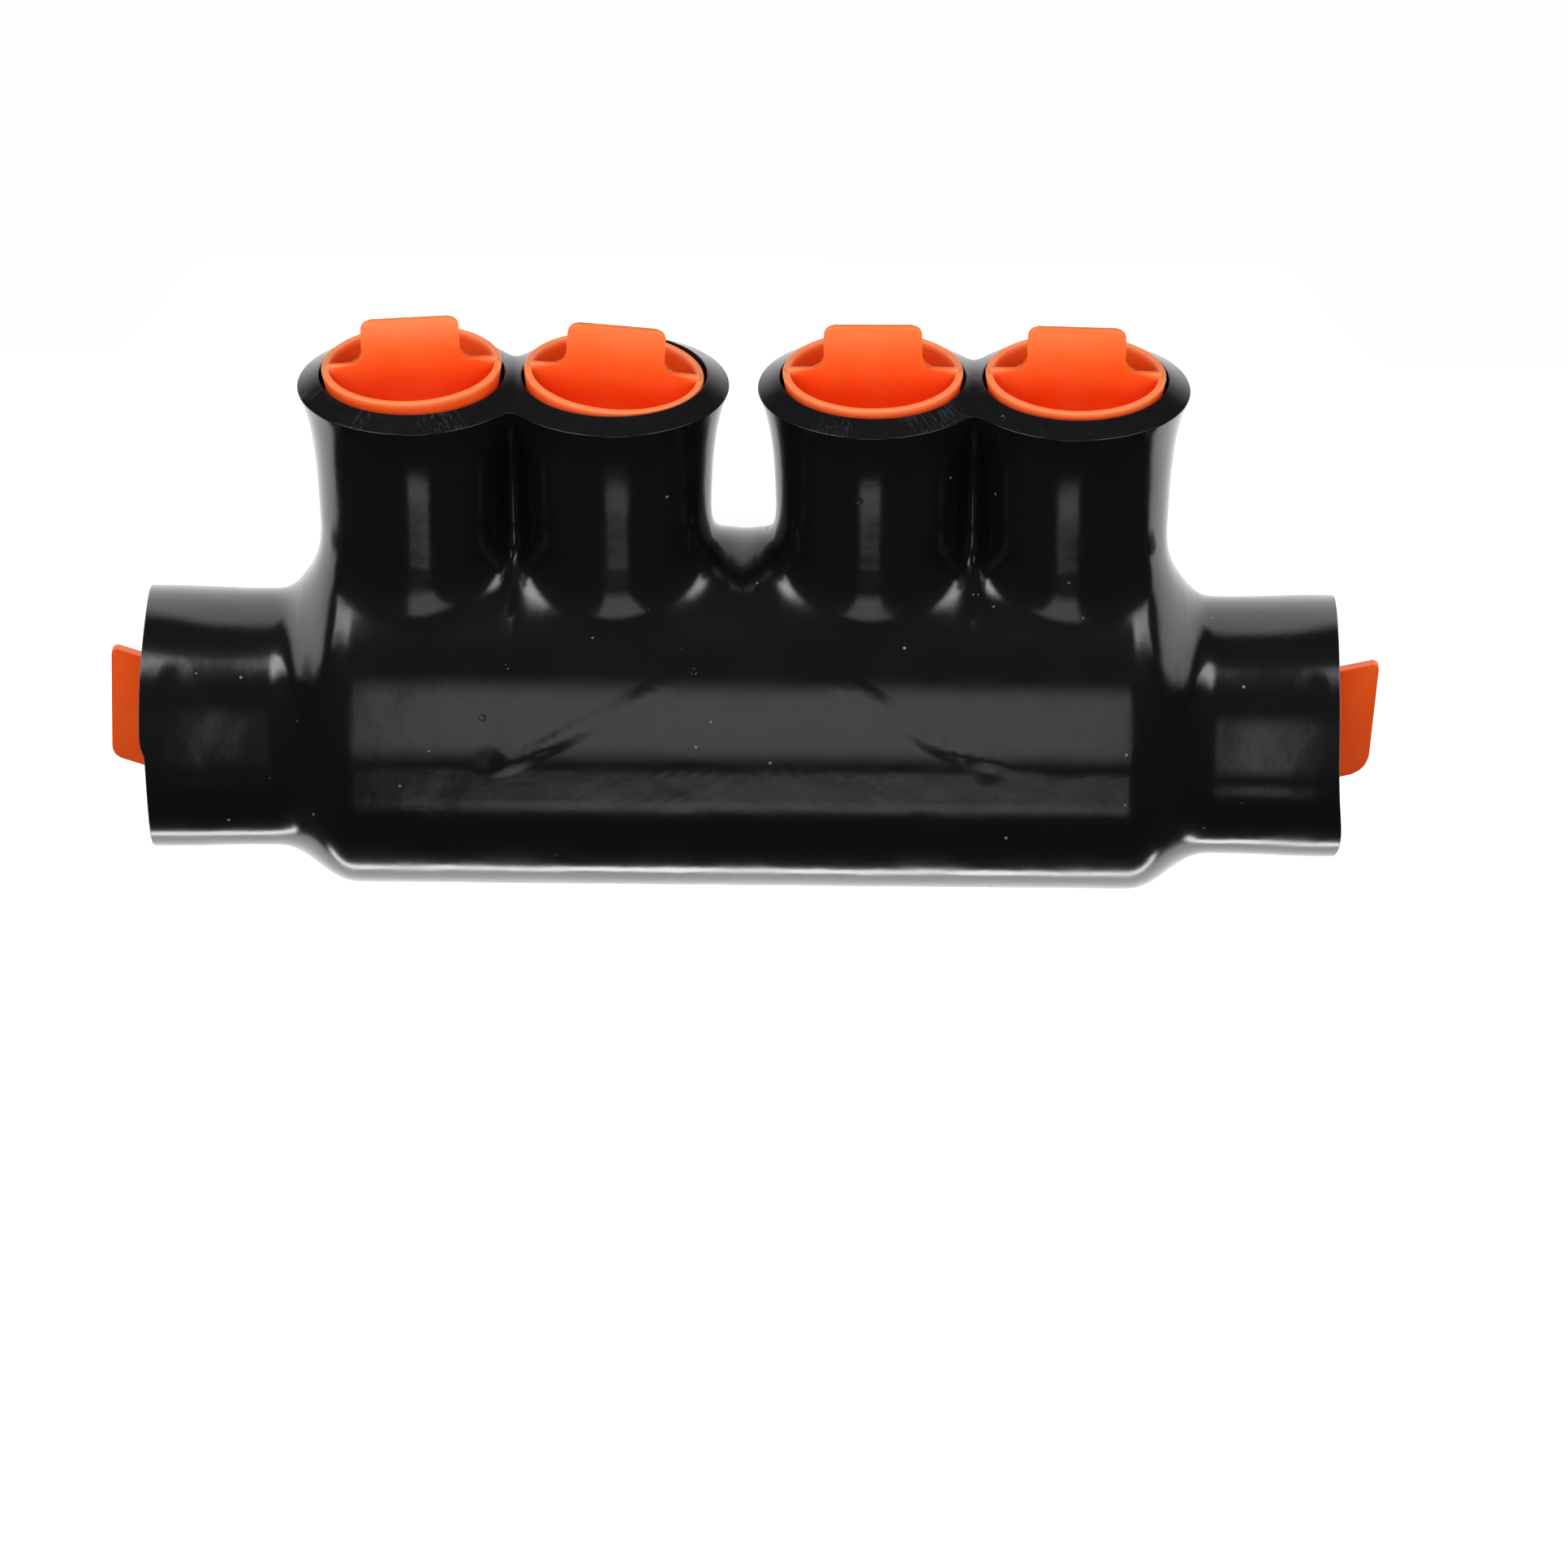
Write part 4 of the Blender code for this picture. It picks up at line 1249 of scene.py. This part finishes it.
@dataclass
class PushCapPiece(Piece):
    """One cap or plug: a stepped cup, and a web with its tab."""

    node: str
    cap: PushCap
    cup: CupRecipe
    place: Matrix
    slot: str
    finish: Finish
    arc: int = 6
    crease: float = math.radians(40)

    def corner(self, centre: tuple, radius: float, first: float, last: float) -> list:
        """Return the points of an arc, with angles in degrees."""
        points = []
        for i in range(self.arc + 1):
            angle = math.radians(first + (last - first) * i / self.arc)
            x, z = radius * math.cos(angle), radius * math.sin(angle)
            points.append((centre[0] + x, centre[1] + z))
        return points

    def slab_outline(self) -> list:
        """Return the right-hand outline of the web and tab, from the cup's floor to the tip."""
        c = self.cap
        inside = c.radius - c.wall / 2
        foot, bevel = 0.0004, 0.0002
        rows = [
            (inside - c.draft - foot, -c.depth + c.wall / 2),
            (inside, -c.wall),
            (inside, c.web_rise - bevel),
            (inside - bevel, c.web_rise),
        ]
        centre = (c.tab_width / 2 + c.tab_fillet, c.web_rise + c.tab_fillet)
        return rows + self.corner(centre, c.tab_fillet, 270, 180)

    def slab(self, form: bmesh.types.BMesh) -> None:
        """Add the web and the tab as one rounded slab."""
        c = self.cap
        top = c.web_rise + c.tab_height
        half = c.tab_width / 2
        right = self.slab_outline()
        left = [(-x, z) for x, z in reversed(right)]
        near, far = c.tab_corners
        crown = self.corner((half - near, top - near), near, 0, 90)
        crown += self.corner((-half + far, top - far), far, 90, 180)
        outline = right + crown + left
        faces = []
        for y in (-c.web / 2, c.web / 2):
            faces.append(form.faces.new([form.verts.new((x, y, z)) for x, z in outline]))
        front, back = (list(face.verts) for face in faces)
        for i in range(len(outline)):
            j = (i + 1) % len(outline)
            form.faces.new((front[i], front[j], back[j], back[i]))
        rims = [edge for face in faces for edge in face.edges]
        bmesh.ops.bevel(form, geom=rims, offset=c.edge, segments=3, profile=0.5, affect="EDGES")

    def lean(self, point: Vector) -> Vector:
        """Lean the tab back from the web up."""
        c = self.cap
        above = max(0.0, point.z - c.web_rise)
        back = above * math.sin(c.lean)
        return Vector((point.x, point.y + back, point.z - above * (1 - math.cos(c.lean))))

    def build(self) -> list:
        """Make the cap."""
        c = self.cap
        slab = bmesh.new()
        self.slab(slab)
        for vert in slab.verts:
            vert.co = self.lean(vert.co)
        bmesh.ops.recalc_face_normals(slab, faces=slab.faces)
        cup = bmesh.new()
        cup.from_mesh(self.cup.of(c))
        bmesh.ops.recalc_face_normals(cup, faces=cup.faces)
        mesh = bpy.data.meshes.new(self.node)
        slab.to_mesh(mesh)
        cup.from_mesh(mesh)
        cup.to_mesh(mesh)
        cup.free()
        slab.free()
        points = places(mesh.vertices)
        store(mesh, "local", points)
        out = np.hypot(points[:, 0], points[:, 1])
        ring = (np.abs(points[:, 2]) < 0.0009) & (out > c.radius - c.wall * 1.15)
        store(mesh, "edge", ring)
        mesh.shade_smooth()
        mesh.set_sharp_from_angle(angle=self.crease)
        mesh.transform(REST @ self.place)
        mesh.materials.append(self.finish.material())
        mesh.update()
        return [self.add(f"{self.node}_moulded", mesh, self.node, self.slot, self.node)]


class ScrewRecipe(Recipe):
    """A set screw: thread, chamfers and hex socket."""

    def __init__(self, finish: Finish) -> None:
        """Build the tree.

        Args:
            finish: The screw's finish.
        """
        labels = ("Radius", "Length", "Pitch", "Thread", "Key Radius", "Key Depth", "Turn")
        super().__init__("threaded_screw", labels)
        radius, length, pitch, thread, key_radius, key_depth, entry = self.sizes
        graph = self.graph
        inputs = {"Vertices": 96, "Side Segments": 132, "Fill Segments": 3}
        inputs.update({"Radius": radius, "Depth": length})
        body = graph.node("GeometryNodeMeshCylinder", inputs, "Mesh")
        x, y, z = graph.node("GeometryNodeInputPosition").parts()
        out = (x * x + y * y) ** 0.5
        turn = y.call("ARCTAN2", x) / (2 * math.pi) + entry
        saw = (z / pitch - turn).call("FRACT")
        tooth = (saw - 0.5).call("ABSOLUTE") * 2.0
        side = out.rise(radius * 0.93, radius * 0.97)
        chamfer = z.call("ABSOLUTE").rise(length * 0.45, length * 0.5) * thread
        cut = (tooth.rise(0.15, 0.85) * thread).call("MAXIMUM", chamfer) * side
        scale = 1.0 - cut / radius
        inputs = {"Geometry": body, "Position": graph.vector(x * scale, y * scale, z)}
        threaded = graph.node("GeometryNodeSetPosition", inputs)
        inputs = {"Vertices": 6, "Radius": key_radius, "Depth": key_depth * 2.0}
        hexagon = graph.node("GeometryNodeMeshCylinder", inputs, "Mesh")
        inputs = {"Geometry": hexagon, "Translation": graph.vector(0.0, 0.0, length * 0.5)}
        lifted = graph.node("GeometryNodeTransform", inputs)
        inputs = {"Mesh 1": threaded, "Mesh 2": lifted}
        bored = graph.node("GeometryNodeMeshBoolean", inputs, "Mesh", operation="DIFFERENCE")
        here = graph.node("GeometryNodeInputPosition")
        inputs = {"Geometry": bored, "Name": "local", "Value": here}
        kept = graph.node(
            "GeometryNodeStoreNamedAttribute", inputs, data_type="FLOAT_VECTOR", domain="POINT"
        )
        self.finish(kept, finish)


@dataclass
class SetScrews(Piece):
    """The four set screws, each at its own turn of the thread."""

    sizes: Sizes = SIZES
    pitch: float = 0.0016
    thread: float = 0.0007
    turn_step: float = 0.21
    crease: float = math.radians(35)
    finish: Finish = field(default_factory=Turned)

    def build(self) -> list:
        """Make the screws."""
        s = self.sizes
        recipe = ScrewRecipe(self.finish)
        key = s.hex_across / 2 / math.cos(math.pi / 6)
        made = []
        sizes = (s.screw_radius, s.screw_length, self.pitch, self.thread, key, s.hex_depth)
        for number, x in enumerate(s.chimneys, 1):
            mesh = recipe.draw(*sizes, self.turn_step * number)
            mesh.transform(REST @ Matrix.Translation((x, 0, s.screw_middle)))
            mesh.shade_smooth()
            mesh.set_sharp_from_angle(angle=self.crease)
            node = f"set_screw_{number}"
            made.append(self.add(f"{node}_threaded", mesh, node, "screw", node))
        return made


@dataclass
class Bar(Piece):
    """The aluminium bar, whose own solid gets its finish."""

    finish: Finish = field(default_factory=Extrusion)

    def build(self) -> list:
        """Give the bar its material."""
        solid = bpy.data.objects["connector_body"]
        for slot in solid.material_slots:
            slot.material = self.finish.material()
        log.info("finish %s on connector_body", self.finish.name)
        return [solid]


class Caps(Piece):
    """The four screw caps, each as it was pushed in; the first is paler up its tab, by a stronger
    painted glow.
    """

    # the first cap's finish paints a stronger glow of light up its tab
    finishes: tuple = (Polyethylene("orange_polyethylene_pale", fade=0.55), *(Polyethylene(),) * 3)

    def build(self) -> list:
        """Make the caps."""
        s = SIZES
        cup = CupRecipe(self.finishes[-1])
        made = []
        seats = zip(s.chimneys, s.cap_stands, s.cap_tilts, s.cap_turns, self.finishes)
        for number, (x, stand, tilt, turn, finish) in enumerate(seats, 1):
            place = Matrix.Translation((x, 0, s.mouth_height + stand))
            place = place @ Matrix.Rotation(math.radians(tilt), 4, "Y")
            place = place @ Matrix.Rotation(math.radians(turn), 4, "Z")
            cap = PushCapPiece(f"screw_cap_{number}", SCREW_CAP, cup, place, "cap", finish)
            made += cap.build()
        return made


class Plugs(Piece):
    """The two port plugs, their tabs outwards."""

    # painted shade: the plugs' colour climbs only 0.6 of the way from the deep tone to the body
    # tone, with no painted glow up the tab
    finish: Finish = Polyethylene("orange_polyethylene_deep", lift=0.6, fade=0.0)

    def build(self) -> list:
        """Make the plugs."""
        s = SIZES
        cup = CupRecipe(self.finish)
        made = []
        sides = (("left", -1, LEFT_PLUG), ("right", 1, RIGHT_PLUG))
        for (name, outward, plug), tilt, recess in zip(sides, s.plug_tilts, s.plug_recesses):
            out, back = Vector((outward, 0, 0)), Vector((0, 1, 0))
            turn = Matrix((back.cross(out), back, out)).transposed().to_4x4()
            place = Matrix.Translation((outward * (s.port_span / 2 - recess), 0, 0))
            place = place @ Matrix.Rotation(math.radians(tilt), 4, "Y") @ turn
            piece = PushCapPiece(f"port_plug_{name}", plug, cup, place, "plug", self.finish)
            made += piece.build()
        return made


# ---------------------------------------------------------------- studio


@dataclass(frozen=True)
class Panel:
    """A soft light, placed in the upright frame in metres and turned to a point.

    Its width lies along the direction across; one that isn't glossy gives no reflection.
    """

    name: str
    middle: tuple
    target: tuple
    size: tuple
    radiance: float
    soft: tuple = (0.1, 0.1)
    tone: tuple = (1.0, 1.0, 1.0)
    across: tuple = (1.0, 0.0, 0.0)
    glossy: bool = True

    def shade(self, tree: bpy.types.NodeTree) -> None:
        """Fade the light towards the panel's edges, over a share of its size."""
        tree.nodes.clear()
        graph = Graph(tree)
        across, up, _ = graph.node("ShaderNodeNewGeometry", {}, "Parametric").parts()
        wide, tall = self.soft
        strength = across.band(0.5, 0.5 - wide, wide) * up.band(0.5, 0.5 - tall, tall)
        glow = graph.node("ShaderNodeEmission", {"Color": rgba(*self.tone), "Strength": strength})
        graph.node("ShaderNodeOutputLight", {"Surface": glow})


STRIP_UPPER = Panel(
    "strip_upper", (0.0, -0.300, 0.050), (0.0, 0.0, 0.004), (0.150, 0.360), 1.28, (0.06, 0.28)
)
STRIP_LOWER = Panel(
    "strip_lower", (0.004, -0.300, -0.182), (0.0, -0.02, 0.0), (0.138, 0.084), 1.30, (0.06, 0.42)
)
BAR_LEFT = Panel(
    "bar_left", (-0.245, -0.038, 0.297), (0.0, -0.01, 0.02), (0.48, 0.21), 8.0, (0.22, 0.42),
    tone=(0.95, 0.97, 1.0), across=(-0.56, 0.45, -0.41),
)
BAR_RIGHT = replace(
    BAR_LEFT, name="bar_right", middle=(0.245, -0.038, 0.297), radiance=6.5,
    across=(0.56, 0.45, -0.41),
)
REAR_LOW = Panel(
    "rear_low", (0.0, 0.0503, -0.3687), (0.0, 0.0, 0.0), (0.60, 0.054), 7.5, (0.1, 0.15)
)
FILL_LEFT = Panel(
    "fill_left", (-0.314, -0.245, 0.334), (0.0, 0.0, 0.03), (0.42, 0.40), 4.2, (0.35, 0.35),
    glossy=False,
)
FILLS = (
    FILL_LEFT,
    replace(FILL_LEFT, name="fill_right", middle=(0.314, -0.245, 0.334)),
    Panel("fill_front", (0.0, -0.600, 0.120), (0.0, 0.0, 0.03), (0.60, 0.30), 2.8, glossy=False),
)


@dataclass
class Studio:
    """The camera, the lights and the floor."""

    elevation: float = 29.5
    yaw: float = 0.9
    roll: float = 0.08
    distance: float = 1.0
    focal: float = 9300.0
    pixels: float = 1932.0
    aim: tuple = (0.0053, 0.0084)
    panels: tuple = (STRIP_UPPER, STRIP_LOWER, BAR_LEFT, BAR_RIGHT, REAR_LOW, *FILLS)

    def camera(self) -> None:
        """Set the camera at the photograph's viewing angle."""
        lift, yaw = math.radians(self.elevation), math.radians(self.yaw)
        level = math.cos(lift)
        towards = Vector((math.sin(yaw) * level, -math.cos(yaw) * level, math.sin(lift)))
        right = Vector((0, 0, 1)).cross(towards).normalized()
        up = towards.cross(right)
        target = right * self.aim[0] - up * self.aim[1]
        pose = Matrix((right, up, towards)).transposed().to_4x4()
        pose = pose @ Matrix.Rotation(math.radians(self.roll), 4, "Z")
        pose.translation = target + towards * self.distance
        data = bpy.data.cameras.new("camera")
        data.sensor_width = 36.0
        data.lens = self.focal / self.pixels * data.sensor_width
        data.clip_start, data.clip_end = 0.01, 20.0
        made = linked("camera", data)
        made.matrix_world = REST @ pose
        bpy.context.scene.camera = made

    def light(self, panel: Panel) -> None:
        """Add one soft panel that faces the connector."""
        data = bpy.data.lights.new(panel.name, "AREA")
        data.shape = "RECTANGLE"
        data.size, data.size_y = panel.size
        data.energy = panel.radiance * math.pi * data.size * data.size_y
        data.use_nodes = True
        panel.shade(data.node_tree)
        made = linked(panel.name, data)
        made.visible_camera = False
        made.visible_glossy = panel.glossy
        back = (Vector(panel.middle) - Vector(panel.target)).normalized()
        across = Vector(panel.across)
        side = (across - back * back.dot(across)).normalized()
        pose = Matrix((side, back.cross(side), back)).transposed().to_4x4()
        pose.translation = panel.middle
        made.matrix_world = REST @ pose

    def floor(self) -> None:
        """Lay the plain floor."""
        form = bmesh.new()
        bmesh.ops.create_grid(form, x_segments=8, y_segments=8, size=6.0)
        mesh = bpy.data.meshes.new("floor")
        form.to_mesh(mesh)
        form.free()
        mesh.materials.append(Paper().material())
        made = linked("floor", mesh)

    def world(self) -> None:
        """Set the dim room and the plain view."""
        world = bpy.data.worlds.new("room")
        world.use_nodes = True
        world.node_tree.nodes.clear()
        graph = Graph(world.node_tree)
        seen = graph.node("ShaderNodeLightPath", {}, "Is Camera Ray")
        inputs = {"Color": rgba(1.0, 1.0, 1.0), "Strength": seen.rise(0.0, 1.0, 0.03, 1.0)}
        back = graph.node("ShaderNodeBackground", inputs)
        graph.node("ShaderNodeOutputWorld", {"Surface": back})
        scene = bpy.context.scene
        scene.world = world
        scene.view_settings.view_transform = "Standard"

    def build(self) -> None:
        """Set up the whole studio."""
        self.world()
        self.floor()
        for panel in self.panels:
            self.light(panel)
        self.camera()
        log.info("studio: %d panels", len(self.panels))


class Assembly:
    """The whole visual model."""

    parts: tuple = (Bar, SetScrews, Jacket, Caps, Plugs)

    def build(self) -> None:
        """Build each sub-assembly in turn."""
        for kind in self.parts:
            kind().build()


def main() -> None:
    """Build the scene."""
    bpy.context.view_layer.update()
    Assembly().build()
    Studio().build()


if __name__ == "__main__":
    main()
